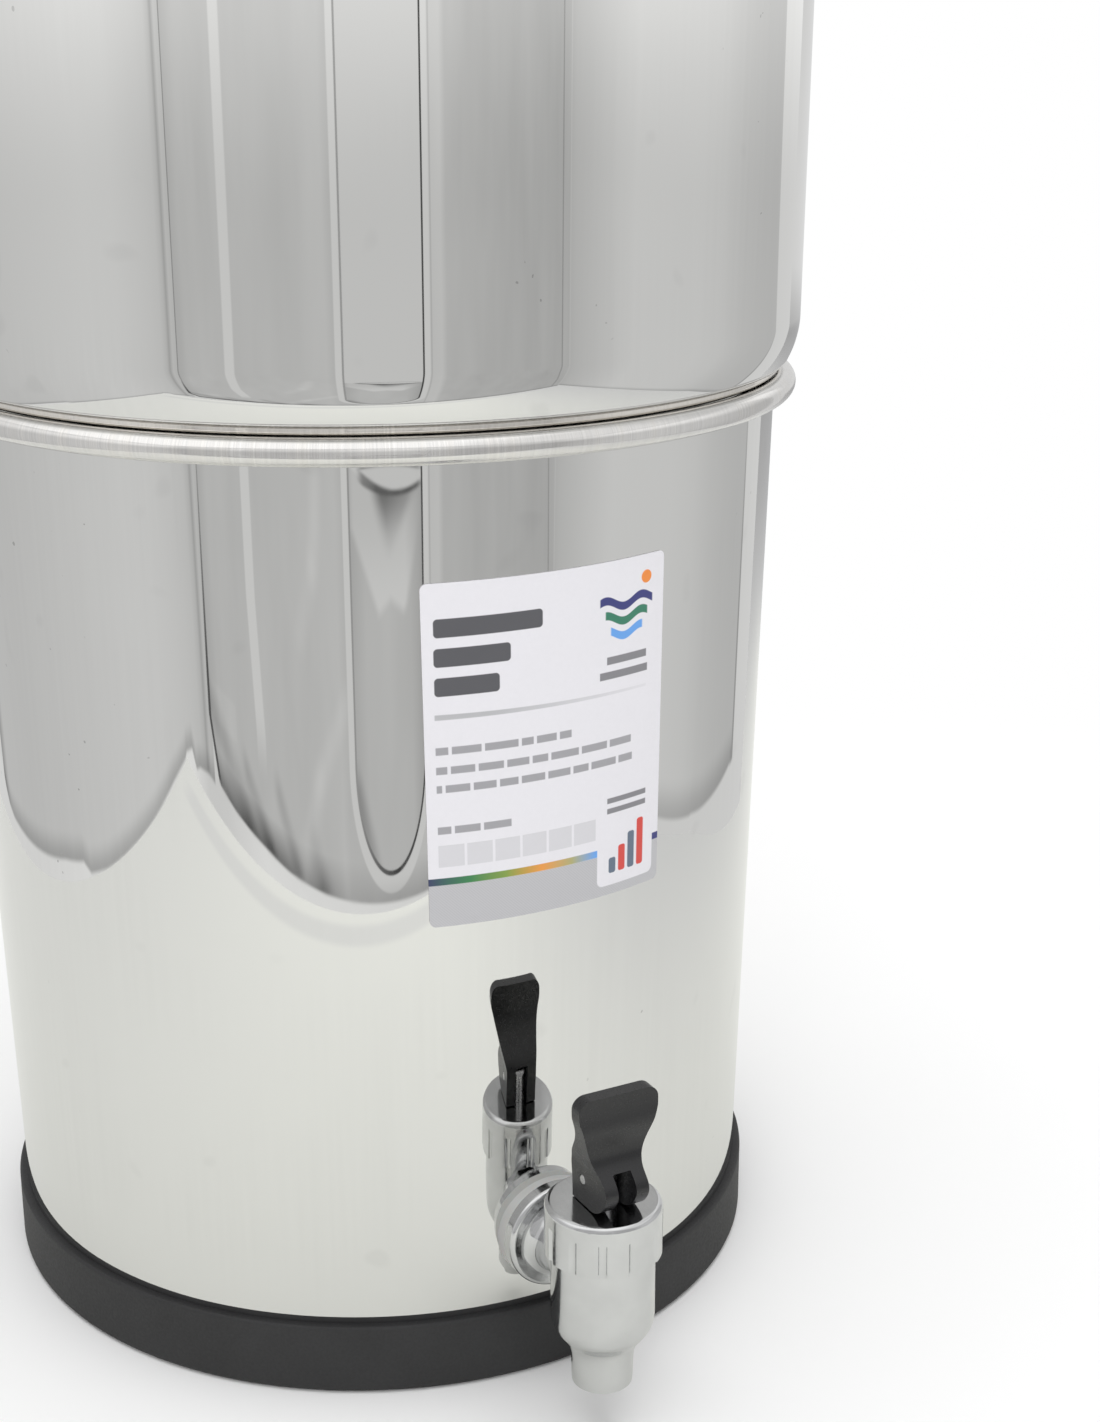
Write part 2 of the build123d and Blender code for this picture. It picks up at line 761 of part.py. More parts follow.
with BuildPart() as tap_stem:
    with BuildSketch(barrel_plane(stem_foot)):
        Circle(stem_foot_radius)
    extrude(amount=stem_foot_thickness)
    with BuildSketch(barrel_plane(stem_foot)):
        Circle(stem_radius)
    extrude(amount=pivot_height + stem_radius - stem_foot)
    with BuildSketch(barrel_plane(tongue_base)):
        Rectangle(4 * stem_radius, 4 * stem_radius)
        Rectangle(tongue_thickness, 4 * stem_radius, mode=Mode.SUBTRACT)
    extrude(amount=pivot_height + stem_radius - tongue_base, mode=Mode.SUBTRACT)
    with BuildSketch(pivot_axis_plane):
        with Locations((0, stem_radius)):
            Rectangle(4 * stem_radius, 2 * stem_radius, align=(Align.CENTER, Align.CENTER))
        Circle(stem_radius, mode=Mode.SUBTRACT)
        with Locations((0, -stem_radius)):
            Rectangle(4 * stem_radius, 2 * stem_radius, mode=Mode.SUBTRACT)
        Circle(pin_radius + pin_fit)
    extrude(amount=2 * stem_radius, both=True, mode=Mode.SUBTRACT)

tap_stem.part.label = "tap_stem"
export_step(tap_stem.part, "parts/tap_stem.step")

with BuildPart() as tap_seat_cup:
    with BuildSketch(barrel_plane(cup_base)):
        Circle(cup_radius)
    extrude(amount=cup_thickness)
    chamfer(edges().group_by(Axis.Z)[-1], cup_chamfer)
    with BuildSketch(barrel_plane(cup_top)):
        Circle(cup_hub_radius)
    extrude(amount=cup_hub_height)
    add(tap_stem.part, mode=Mode.SUBTRACT)

tap_seat_cup.part.label = "tap_seat_cup"
export_step(tap_seat_cup.part, "parts/tap_seat_cup.step")

spring_foot = cup_top + spring_wire / 2
spring_rise = bonnet_ceiling - spring_wire / 2 - spring_foot

with BuildPart() as tap_spring:
    with BuildLine():
        coil = Helix(
            spring_rise / spring_turns, spring_rise, spring_radius,
            center=(0, -barrel_axis_reach, spring_foot),
        )
    with BuildSketch(Plane(origin=coil @ 0, x_dir=(1, 0, 0), z_dir=coil % 0)):
        Rectangle(spring_wire, spring_wire)
    sweep(is_frenet=True)

tap_spring.part.label = "tap_spring"
export_step(tap_spring.part, "parts/tap_spring.step")

# ---- tap: lever and pivot pin -------------------------------------------------------

cam_rate = stem_lift / radians(lever_travel)    # lift for each radian of the lever
cam_steps = 9


def cam_point(angle):
    """Point of the heel: an involute, whose reach to the bonnet grows with the angle."""
    reach = cam_base_radius + cam_rate * angle
    return (
        -reach * sin(angle) - cam_rate * cos(angle),
        -reach * cos(angle) + cam_rate * sin(angle),
    )


cam_points = [
    cam_point(radians(lever_travel) * step / cam_steps) for step in range(cam_steps + 1)
]
ear_inside = tongue_thickness / 2 + lever_slot_clearance
ear_outside = ear_inside + ear_thickness
slot_top = stem_radius + lever_headroom
paddle_front = -paddle_lean - paddle_thickness / 2
paddle_back = paddle_front + paddle_thickness
paddle_foot = lever_reach - paddle_half_width / 2
lever_front_plane = Plane(
    origin=(0, -barrel_axis_reach, pivot_height), x_dir=(1, 0, 0), z_dir=(0, -1, 0)
)

with BuildPart() as tap_lever:
    with BuildSketch(pivot_axis_plane):
        with BuildLine():
            Line((lever_neck_back, -cam_base_radius), cam_points[0])
            cam = Spline(cam_points)
            nose = Spline(
                cam @ 1,
                (-lever_neck_front - lever_throat, lever_throat_height),
                (paddle_front, paddle_root_height),
                (paddle_front, lever_reach),
                tangents=[cam % 1, (-0.1, 1)],
            )
            tip = Line(nose @ 1, (paddle_back, lever_reach))
            Spline(
                tip @ 1,
                (paddle_back + paddle_swell, paddle_root_height),
                (lever_neck_back, lever_shoulder_height),
                (lever_neck_back, -cam_base_radius),
                tangents=[(0.1, -1), (0, -1)],
            )
        make_face()
    extrude(amount=paddle_half_width, both=True)
    with BuildSketch(lever_front_plane):
        with BuildLine():
            FilletPolyline(
                (ear_outside, -cam_base_radius), (ear_outside, slot_top),
                (paddle_half_width, paddle_foot), (paddle_half_width, lever_reach),
                (-paddle_half_width, lever_reach), (-paddle_half_width, paddle_foot),
                (-ear_outside, slot_top), (-ear_outside, -cam_base_radius),
                radius=[
                    lever_shoulder_radius, lever_shoulder_radius, paddle_corner_radius,
                    paddle_corner_radius, lever_shoulder_radius, lever_shoulder_radius,
                ],
            )
            Line((-ear_outside, -cam_base_radius), (ear_outside, -cam_base_radius))
        make_face()
    extrude(amount=3 * cam_base_radius, both=True, mode=Mode.INTERSECT)
    with BuildSketch(pivot_axis_plane):
        with Locations((0, slot_top)):
            Rectangle(
                6 * cam_base_radius, 4 * cam_base_radius, align=(Align.CENTER, Align.MAX)
            )
    extrude(amount=ear_inside, both=True, mode=Mode.SUBTRACT)
    with BuildSketch(pivot_axis_plane):
        Circle(pin_radius)
    extrude(amount=ear_outside, both=True, mode=Mode.SUBTRACT)

tap_lever.part.label = "tap_lever"
export_step(tap_lever.part, "parts/tap_lever.step")

with BuildPart() as tap_pivot_pin:
    with BuildSketch(pivot_axis_plane):
        Circle(pin_radius)
    extrude(amount=ear_outside, both=True)
    chamfer(edges().filter_by(GeomType.CIRCLE), pin_chamfer)

tap_pivot_pin.part.label = "tap_pivot_pin"
export_step(tap_pivot_pin.part, "parts/tap_pivot_pin.step")
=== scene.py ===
"""Surfaces, finishes and studio of a stacked gravity water filter.

Everything is in metres, in the frame of the packed model: the origin is on the vessels'
axis at the ground, +Z is up, and the tap and the label face -Y.
"""

import math

import bpy
import numpy as np
from bpy.props import FloatProperty, FloatVectorProperty, IntProperty, PointerProperty
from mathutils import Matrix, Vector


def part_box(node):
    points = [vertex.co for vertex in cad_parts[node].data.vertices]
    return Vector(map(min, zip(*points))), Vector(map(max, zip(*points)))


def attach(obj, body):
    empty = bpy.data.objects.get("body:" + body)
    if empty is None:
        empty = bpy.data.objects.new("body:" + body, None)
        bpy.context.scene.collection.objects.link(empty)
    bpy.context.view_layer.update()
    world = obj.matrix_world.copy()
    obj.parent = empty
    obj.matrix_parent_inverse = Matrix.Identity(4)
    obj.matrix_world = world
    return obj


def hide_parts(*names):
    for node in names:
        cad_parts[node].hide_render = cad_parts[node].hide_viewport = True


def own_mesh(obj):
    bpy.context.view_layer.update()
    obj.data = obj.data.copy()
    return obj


bl_info = {
    "name": "Gravity Water Filter",
    "version": (1, 0, 0),
    "blender": (4, 5, 0),
    "location": "3D View > Sidebar > Water Filter",
    "description": "Builds the shells, finishes and studio of a gravity water filter",
    "category": "Add Mesh",
}

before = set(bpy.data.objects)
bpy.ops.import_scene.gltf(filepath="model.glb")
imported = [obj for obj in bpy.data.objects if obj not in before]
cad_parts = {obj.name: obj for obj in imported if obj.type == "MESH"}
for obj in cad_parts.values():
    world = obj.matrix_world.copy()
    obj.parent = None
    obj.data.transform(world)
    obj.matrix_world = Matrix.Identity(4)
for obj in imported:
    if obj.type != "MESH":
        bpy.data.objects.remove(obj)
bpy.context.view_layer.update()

LOWER_LOW, LOWER_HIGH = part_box("lower_chamber")
UPPER_LOW, UPPER_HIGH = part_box("upper_chamber")
LID_LOW, LID_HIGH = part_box("lid")
KNOB_LOW, KNOB_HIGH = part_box("lid_knob")
_, RING_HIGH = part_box("base_ring")
SPRING_LOW, SPRING_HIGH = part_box("tap_spring")

MM = 0.001
COLUMNS = 192                   # faces round a turned piece
FIRST_COLUMN = math.radians(45)
WINDOW_CORNER = math.radians(225)   # a window's first corner, seen from its middle
SHARP = math.radians(38)        # edges that turn more than this stay crisp
HEADING = math.radians(28.19)   # the camera looks this far to the right of +Y
WELD_DIGITS = 7                 # points alike to a ten-thousandth of a millimetre are one


# ---- sizes and colours that a user may change -----------------------------------------

def length(name, description, default):
    """A length, given in millimetres and kept in metres."""
    return FloatProperty(
        name=name, description=description, default=default * MM, min=0.0,
        unit="LENGTH", precision=5,
    )


def angle(name, description, default):
    """An angle, given in degrees and kept in radians."""
    return FloatProperty(
        name=name, description=description, default=math.radians(default),
        unit="ROTATION",
    )


def share(name, description, default):
    """A number from 0 to 1."""
    return FloatProperty(
        name=name, description=description, default=default, min=0.0, max=1.0,
        subtype="FACTOR",
    )


def colour(name, description, default):
    """A colour, as linear red, green and blue."""
    return FloatVectorProperty(
        name=name, description=description, default=default, min=0.0, max=1.0, size=3,
        subtype="COLOR",
    )


class ChamberSizes(bpy.types.PropertyGroup):
    """Sheet, rims, walls and holes of the two chambers."""

    sheet: length("Sheet", "Thickness of the stainless sheet", 1.0)
    rim_tube: length("Rim tube", "Outside radius of a rolled rim's tube", 3.1)
    rim_curl: angle("Rim curl", "How far the sheet rolls round a rim", 270)
    lower_draft: share("Lower draft", "Radius gained with height, lower chamber", 0.025)
    upper_draft: share("Upper draft", "Radius gained with height, upper chamber", 0.010)
    corner: length("Corner", "Radius between the lower floor and wall", 14)
    panel_radius: length("Panel radius", "Raised middle of the lower floor", 62)
    panel_rise: length("Panel rise", "Height of the raised middle", 3)
    panel_slope: length("Panel slope", "Width of the slope round the middle", 6)
    tap_hole: length("Tap hole", "Radius of the hole for the tap", 8.25)
    tap_height: length("Tap height", "Centre of the hole for the tap", 38)
    spigot_clearance: length("Spigot clearance", "Spigot in the lower mouth", 0.6)
    spigot_draft: share("Spigot draft", "Radius gained with height, spigot", 0.05)
    spigot_corner: length("Spigot corner", "Radius between floor and spigot", 6)
    spigot_fillet: length("Spigot fillet", "Radius between spigot and bead", 0.7)
    bead: length("Seat bead", "Radius of the bead that sits on the rim", 1.4)
    bead_inset: length("Bead inset", "Bead's centre inside the rim's centre", 2.2)
    bead_gap: length("Bead gap", "Clearance between bead and rim", 0.3)
    bead_neck: length("Bead neck", "Height of the bead up to its crease", 1.93)
    crease: length("Crease", "Radius of the crease above the bead", 0.3)
    crease_run: length("Crease run", "Straight run out of the crease", 0.6)
    turn: length("Turn", "Radius of the tight turn under the shoulder", 2.1)
    turn_start: angle("Turn start", "Angle below level where the turn begins", 75)
    shoulder: length("Shoulder", "Radius of the shoulder", 22.7)
    shoulder_start: angle("Shoulder start", "Angle below level, start of shoulder", 28)
    filter_hole: length("Filter hole", "Radius of the holes in the upper floor", 5.5)
    filter_circle: length("Filter circle", "Circle that the holes lie on", 46)
    filter_holes: IntProperty(
        name="Filter holes", description="Holes in the upper floor", default=4, min=1,
        max=4,
    )


class LidSizes(bpy.types.PropertyGroup):
    """Sizes of the lid and its knob."""

    sheet: length("Lid sheet", "Thickness of the lid", 0.8)
    seat_gap: length("Seat gap", "Lid above the upper rim", 0.3)
    clearance: length("Clearance", "Groove in the upper mouth", 0.5)
    groove_width: length("Groove width", "Width of the locating groove", 8)
    groove_bend: length("Groove bend", "Radius of the groove's bends", 2)
    mouth_bend: length("Mouth bend", "Radius where the lid turns over the rim", 1.2)
    skirt_bend: length("Skirt bend", "Radius at the top of the skirt", 2.4)
    skirt_drop: length("Skirt drop", "Skirt below the rim's centre", 1.5)
    dome_edge: length("Dome edge", "Dome's edge above the rim's centre", 1.5)
    flat: length("Flat", "Radius of the flat under the knob", 12)
    screw: length("Screw", "Radius of the knob's screw", 2)
    screw_grip: length("Screw grip", "Depth of the screw in the knob", 12)
    knob_foot: length("Knob foot", "Radius of the knob's foot", 9)
    knob_waist: length("Knob waist", "Least radius of the knob", 6.5)
    knob_waist_height: length("Waist height", "Height of the waist", 6)
    knob_edge_height: length("Edge height", "Underside of the knob's edge", 14)
    knob_edge: length("Edge thickness", "Thickness of the knob's edge", 3.5)
    knob_round: length("Edge round", "Rounding of the knob's edge", 1.6)


class SmallSizes(bpy.types.PropertyGroup):
    """Sizes of the base ring, the label and the valve spring."""

    ring_inside: length("Ring inside", "Inside radius of the base ring", 78)
    ring_round: length("Ring round", "Rounding of the ring's foot", 2)
    ring_lip: length("Ring lip", "Rounding of the ring's upper lip", 0.8)
    label_width: length("Label width", "Width of the label along the wall", 60)
    label_height: length("Label height", "Height of the label", 79.3)
    label_corner: length("Label corner", "Radius of the label's corners", 1.5)
    label_middle: length("Label middle", "Height of the label's middle", 159.85)
    label_film: length("Label film", "Thickness of the label", 0.2)
    label_adhesive: length("Adhesive", "Label's stand-off from the wall", 0.08)
    label_tilt: angle("Label tilt", "The label's right side is higher", 0.9)
    spring_wire: length("Spring wire", "Radius of the spring's wire", 0.5)
    spring_turns: FloatProperty(
        name="Spring turns", description="Turns of the valve spring", default=4.0,
        min=1.0,
    )
    valve_lift: length("Valve lift", "Travel of the valve", 4)


class FinishColours(bpy.types.PropertyGroup):
    """Colours of the filter's finishes."""

    steel: colour("Steel", "Polished stainless steel", (0.76, 0.76, 0.745))
    rim_steel: colour("Rim steel", "Brushed steel of the rims", (0.80, 0.79, 0.775))
    bead_steel: colour("Bead steel", "Warm heat tint of the bead", (0.89, 0.855, 0.80))
    inner_steel: colour("Inner steel", "Satin steel inside", (0.80, 0.80, 0.79))
    chrome: colour("Chrome", "Plating of the tap", (0.66, 0.665, 0.67))
    fastener: colour("Fastener", "Plain steel fasteners", (0.52, 0.52, 0.53))
    knob: colour("Black plastic", "Knob and lever", (0.013, 0.013, 0.014))
    rubber: colour("Rubber", "Base ring", (0.028, 0.028, 0.029))
    silicone: colour("Silicone", "Washers and seals", (0.55, 0.55, 0.54))
    white_plastic: colour("White plastic", "Mounts, nuts, plugs", (0.79, 0.80, 0.80))
    ceramic: colour("Ceramic", "Filter candles", (0.82, 0.79, 0.72))
    label_white: colour("Label white", "Paper white of the label", (0.785, 0.775, 0.81))
    ink: colour("Ink", "Dark grey print", (0.095, 0.095, 0.105))
    pale_ink: colour("Pale ink", "Pale grey print", (0.47, 0.47, 0.485))


class StudioSizes(bpy.types.PropertyGroup):
    """Camera, lamps and floor."""

    camera_place: FloatVectorProperty(
        name="Camera", description="Place of the camera",
        default=(-0.2189, -0.5064, 0.3146), unit="LENGTH",
    )
    camera_pitch: angle("Pitch", "Camera's turn up from straight down", 72.32)
    camera_heading: angle("Heading", "Camera's turn about Z", -math.degrees(HEADING))
    lens: FloatProperty(
        name="Lens", description="Focal length in millimetres", default=55.8, min=1.0
    )
    floor_radius: length("Floor", "Radius of the floor", 4000)
    lamp_watts: FloatProperty(
        name="Overhead lamp", description="Power of the overhead lamp, watts",
        default=14.0, min=0.0,
    )
    front_watts: FloatProperty(
        name="Front lamp", description="Power of the front lamp, watts", default=5.0,
        min=0.0,
    )
    world_level: FloatProperty(
        name="Surround", description="Level of the white surround on matt surfaces",
        default=0.62, min=0.0,
    )
    tent_height: length("Tent height", "Height of the light tent's walls", 420)


SETTINGS = {
    "filter_chambers": ChamberSizes,
    "filter_lid": LidSizes,
    "filter_small": SmallSizes,
    "filter_colours": FinishColours,
    "filter_studio": StudioSizes,
}


# ---- profiles -------------------------------------------------------------------------

def unit(vector):
    """Vector of length one, the same way."""
    return vector / np.linalg.norm(vector)


def arc(centre, radius, first, last, steps):
    """Arc: centre + radius (cos a, sin a), a in even steps from first to last."""
    turn = np.linspace(first, last, steps + 1)
    return np.asarray(centre) + radius * np.column_stack((np.cos(turn), np.sin(turn)))


def arc_through(start, middle, end, steps):
    """Arc from start to end through middle: its centre is equally far from all three."""
    start, middle, end = (np.asarray(p, float) for p in (start, middle, end))
    sides = 2 * np.array((middle - start, end - start))
    squares = (middle @ middle - start @ start, end @ end - start @ start)
    centre = np.linalg.solve(sides, squares)
    a, b, c = (math.atan2(*(p - centre)[::-1]) for p in (start, middle, end))
    way = math.copysign(1, math.sin(b - a) + math.sin(c - b))
    sweep = way * ((way * (c - a)) % math.tau)
    return arc(centre, np.linalg.norm(start - centre), a, a + sweep, steps)


def bend(start, corner, end, steps=8):
    """Quadratic curve (1-t)^2 start + 2t(1-t) corner + t^2 end."""
    t = np.linspace(0, 1, steps + 1)[:, None]
    start, corner, end = (np.asarray(p, float) for p in (start, corner, end))
    return (1 - t) ** 2 * start + 2 * t * (1 - t) * corner + t**2 * end


def rounded(corners, radii, steps=10):
    """Polyline with round corners: an arc whose centre is on the corner's bisector, at
    radius / sin(half the corner's angle), touches both runs."""
    corners = np.asarray(corners, float)
    parts = [corners[:1]]
    for before, corner, after, radius in zip(corners, corners[1:], corners[2:], radii):
        back, ahead = unit(before - corner), unit(after - corner)
        half = math.acos(np.clip(back @ ahead, -1, 1)) / 2
        centre = corner + unit(back + ahead) * radius / math.sin(half)
        reach = radius / math.tan(half)
        first = math.atan2(*(corner + back * reach - centre)[::-1])
        last = math.atan2(*(corner + ahead * reach - centre)[::-1])
        sweep = (last - first + math.pi) % math.tau - math.pi
        parts.append(arc(centre, radius, first, first + sweep, steps))
    parts.append(corners[-1:])
    return np.concatenate(parts)


def dense(path, longest, hold=0.4 * MM):
    """Path with points added to its runs, none further apart than longest, and one a
    short hold from each end of a long run, so that its shading stays straight."""
    parts = []
    for start, end in zip(path[:-1], path[1:]):
        span = np.linalg.norm(end - start)
        if span < 0.1**WELD_DIGITS:
            continue
        along = np.linspace(0, 1, math.ceil(span / longest) + 1)[:-1]
        if span > 4 * hold:
            along = np.union1d(along, (hold / span, 1 - hold / span))
        parts.append(start + along[:, None] * (end - start))
    return np.concatenate([*parts, path[-1:]])


def beside(path, distance):
    """Path moved to its left: each point along the sum b of its two runs' normals, by
    distance times 2 b / (b . b), which keeps both runs the same distance away."""
    run = np.diff(path, axis=0)
    normal = np.column_stack((-run[:, 1], run[:, 0]))
    normal /= np.linalg.norm(normal, axis=1)[:, None]
    both = np.vstack((normal[:1], normal)) + np.vstack((normal, normal[-1:]))
    return path + distance * 2 * both / (both**2).sum(1)[:, None]


def two_faces(path, thickness):
    """Section of a sheet: its outer face, then back along its inner face."""
    return np.concatenate((path, beside(path, thickness)[::-1]))


# ---- surfaces -------------------------------------------------------------------------

def column_angle(column):
    """Angle of a column of a turned piece."""
    return FIRST_COLUMN + math.tau * column / COLUMNS


def turn_profile(profile, angles):
    """Surface of revolution: (r, z) at angle a is (r cos a, r sin a, z)."""
    radius, height = profile[..., 0], profile[..., 1]
    return np.stack((radius * np.cos(angles), radius * np.sin(angles),
                     height + 0 * angles), axis=-1)


def turned_points(profile):
    """Points of a profile that is turned all the way round the axis."""
    angles = column_angle(np.arange(COLUMNS))[None]
    return turn_profile(profile[:, None], angles).reshape(-1, 3)


def grid_quads(rows, columns, wrap_rows=False):
    """Corner numbers of a grid's quads, which run along the columns first. The columns
    always close into a ring, and the rows do if wrap_rows is true."""
    row = np.arange(rows if wrap_rows else rows - 1)[:, None]
    column = np.arange(columns)[None, :]
    below, right = (row + 1) % rows, (column + 1) % columns
    corners = (row * columns + column, row * columns + right,
               below * columns + right, below * columns + column)
    return np.stack(np.broadcast_arrays(*corners), axis=-1)


def window_edge(rows, columns):
    """Grid places round a window of the grid, in the order of its quads."""
    across, along = np.arange(*columns), np.arange(*rows)
    row = np.concatenate((np.full(across.size, rows[0]), along,
                          np.full(across.size, rows[1]), along[::-1] + 1))
    column = np.concatenate((across, np.full(along.size, columns[1]),
                             across[::-1] + 1, np.full(along.size, columns[0])))
    return row, column


def bore(profile, first_point, rows, columns, hole, steps=3):
    """A hole through both faces of a turned sheet. In a window of the grid, rings of
    points go from its edge to the hole's, through the sheet, and back inside: each is
    the blend (1-t) window edge + t hole edge in (share of the run, angle)."""
    row, column = window_edge(rows, columns)
    last_row = len(profile) - 1
    spin = WINDOW_CORNER + math.tau * np.arange(row.size) / row.size
    edge_angle = column_angle(column)
    rings = []
    for face_rows, ends in ((row, rows), (last_row - row, [last_row - r for r in rows])):
        start, end = profile[ends[0]], profile[ends[1]]
        edge_share = ((profile[face_rows] - start) @ (end - start)) / (
            (end - start) @ (end - start)
        )
        hole_share, hole_angle = hole(start, end, spin)
        t = np.arange(1, steps + 1)[:, None] / steps
        along = (1 - t) * edge_share + t * hole_share
        around = (1 - t) * edge_angle + t * hole_angle
        rings.append(turn_profile(start + along[..., None] * (end - start), around))
    points = np.concatenate((rings[0], rings[1][::-1]))
    inner = first_point + np.arange(points.shape[0] * row.size).reshape(-1, row.size)
    numbers = np.vstack((row * COLUMNS + column, inner,
                         (last_row - row) * COLUMNS + column))
    ahead = np.roll(numbers, -1, axis=1)
    quads = np.stack((numbers[:-1], ahead[:-1], ahead[1:], numbers[1:]), axis=-1)
    return points.reshape(-1, 3), quads, steps


def turned_sheet(profile, bores=()):
    """Turned sheet with holes. Gives its points, its quads, and which of the quads are
    on the outer face, the profile's first half."""
    points = turned_points(profile)
    quads = grid_quads(len(profile), COLUMNS)
    outer = np.arange(len(quads))[:, None] < len(profile) / 2
    outer = np.broadcast_to(outer, quads.shape[:2])
    keep = np.ones(quads.shape[:2], bool)
    more_quads, more_outer = [], []
    for rows, columns, hole in bores:
        rim, faces, steps = bore(profile, len(points), rows, columns, hole)
        points = np.concatenate((points, rim))
        more_quads.append(faces.reshape(-1, 4))
        more_outer.append(np.repeat(np.arange(len(faces)) <= steps, faces.shape[1]))
        last_row = len(profile) - 1
        keep[rows[0]:rows[1], columns[0]:columns[1]] = False
        keep[last_row - rows[1]:last_row - rows[0], columns[0]:columns[1]] = False
    quads = np.concatenate([quads[keep], *more_quads])
    outer = np.concatenate([outer[keep], *more_outer])
    return points, quads, outer


def make_mesh(name, points, quads, bands=None, places=None):
    """Mesh of welded points and quads. A quad that loses a corner is a triangle. bands
    holds each quad's material number, and places each point's place on its UV map."""
    rounded_points = np.round(points, WELD_DIGITS) + 0.0
    _, first, number = np.unique(
        rounded_points, axis=0, return_index=True, return_inverse=True
    )
    corners = number.reshape(-1)[quads]
    same = corners == np.roll(corners, -1, axis=1)
    lost = same.sum(axis=1)
    whole, pointed = np.flatnonzero(lost == 0), np.flatnonzero(lost == 1)
    triangles = corners[pointed][~same[pointed]].reshape(-1, 3)
    mesh = bpy.data.meshes.new(name)
    faces = corners[whole].tolist() + triangles.tolist()
    mesh.from_pydata(points[first].tolist(), [], faces)
    if bands is not None:
        order = np.concatenate((whole, pointed))
        mesh.polygons.foreach_set("material_index", bands[order].astype(np.int32))
    if places is not None:
        at = np.concatenate((corners[whole].ravel(), triangles.ravel()))
        uv = mesh.uv_layers.new(name="UVMap")
        uv.data.foreach_set("uv", places[first][at].astype(np.float32).ravel())
    mesh.shade_smooth()
    mesh.set_sharp_from_angle(angle=SHARP)
    return mesh


def turned_mesh(name, profile, wrap_rows=False):
    """Mesh of a turned profile, which closes into a loop if wrap_rows is true."""
    quads = grid_quads(len(profile), COLUMNS, wrap_rows).reshape(-1, 4)
    return make_mesh(name, turned_points(profile), quads)


def add_object(name, data):
    """New object in the scene."""
    made = bpy.data.objects.new(name, data)
    bpy.context.scene.collection.objects.link(made)
    return made


def add_piece(mesh, body, slot, node, finishes=()):
    """Puts a mesh into the scene as a piece that rides on a body and replaces a node.
    Its finish is its slot's, unless it has several."""
    piece = add_object(mesh.name, mesh)
    for name in finishes or (slot,):
        mesh.materials.append(FINISHES[name])
    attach(piece, body)
    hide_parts(node)
    return piece


def nearest_row(profile, point):
    """Row of the profile's outer half that lies nearest to a point."""
    outer = profile[: len(profile) // 2]
    return int(np.argmin(np.linalg.norm(outer - point, axis=1)))


def columns_at(middle, half):
    """First and last column of a window centred on an angle."""
    column = round((middle - FIRST_COLUMN) % math.tau / math.tau * COLUMNS)
    return column - half, column + half


# ---- node trees -----------------------------------------------------------------------

class Wire:
    """One value in a node tree. Arithmetic on it adds Math nodes to the tree."""

    def __init__(self, tree, socket):
        self.tree = tree
        self.socket = socket

    def step(self, kind, *values, **settings):
        """Result of a new node whose first inputs are the values, in order."""
        made = add_node(self.tree, kind, enumerate(values), **settings)
        return Wire(self.tree, made.outputs[0])

    def math(self, operation, *others):
        """Result of a Math node on this value and the others."""
        return self.step("ShaderNodeMath", self, *others, operation=operation)

    def __add__(self, other):
        return self.math("ADD", other)

    def __sub__(self, other):
        return self.math("SUBTRACT", other)

    def __rsub__(self, other):
        return self.step("ShaderNodeMath", other, self, operation="SUBTRACT")

    def __mul__(self, other):
        return self.math("MULTIPLY", other)

    def __abs__(self):
        return self.math("ABSOLUTE")

    def slope(self, low, high, start=0.0, end=1.0, **settings):
        """Straight line from start at low to end at high, level beyond them."""
        return self.step("ShaderNodeMapRange", self, low, high, start, end, **settings)

    def fade(self, low, high, start=0.0, end=1.0):
        """Smooth step from start at low to end at high."""
        return self.slope(low, high, start, end, interpolation_type="SMOOTHSTEP")

    def inside(self, soft):
        """1 where this distance is negative, with a soft edge."""
        return self.fade(soft, -soft)


def add_node(tree, kind, inputs=(), **settings):
    """New node with its settings, and its inputs by name or number."""
    made = tree.nodes.new(kind)
    for name, value in settings.items():
        setattr(made, name, value)
    for name, value in dict(inputs).items():
        plug(tree, value, made.inputs[name])
    return made


def plug(tree, value, place):
    """Sets a socket, or links it if the value comes from another node."""
    if isinstance(value, Wire):
        tree.links.new(value.socket, place)
    elif isinstance(value, bpy.types.NodeSocket):
        tree.links.new(value, place)
    elif place.type == "RGBA" and len(value) == 3:
        place.default_value = (*value, 1.0)
    else:
        place.default_value = value


def new_material(name):
    """Empty node material and its output node."""
    material = bpy.data.materials.new(name)
    material.use_nodes = True
    material.node_tree.nodes.clear()
    output = material.node_tree.nodes.new("ShaderNodeOutputMaterial")
    return material, material.node_tree, output


def shaded(name, **inputs):
    """Material of one Principled shader. Inputs are its sockets' values, with _ for a
    space; the ones that follow a pattern are linked afterwards."""
    material, tree, output = new_material(name)
    values = {key.replace("_", " "): value for key, value in inputs.items()}
    shader = add_node(tree, "ShaderNodeBsdfPrincipled", values)
    tree.links.new(shader.outputs[0], output.inputs["Surface"])
    return material, tree, shader


def dress(shader, base, normal, roughness=None):
    """Links a finish's colour, relief and, where it varies, roughness to its shader."""
    tree = shader.id_data
    plug(tree, base, shader.inputs["Base Color"])
    plug(tree, normal, shader.inputs["Normal"])
    if roughness is not None:
        plug(tree, roughness, shader.inputs["Roughness"])


def object_place(tree, scale=(1, 1, 1), turn=(0, 0, 0)):
    """Place on the object, turned and scaled by a Mapping node."""
    source = add_node(tree, "ShaderNodeTexCoord")
    moved = add_node(tree, "ShaderNodeMapping", {
        "Vector": source.outputs["Object"], "Scale": scale, "Rotation": turn,
    })
    return moved.outputs[0]


def split(tree, vector):
    """The three parts of a vector."""
    parts = add_node(tree, "ShaderNodeSeparateXYZ", {0: vector})
    return [Wire(tree, part) for part in parts.outputs]


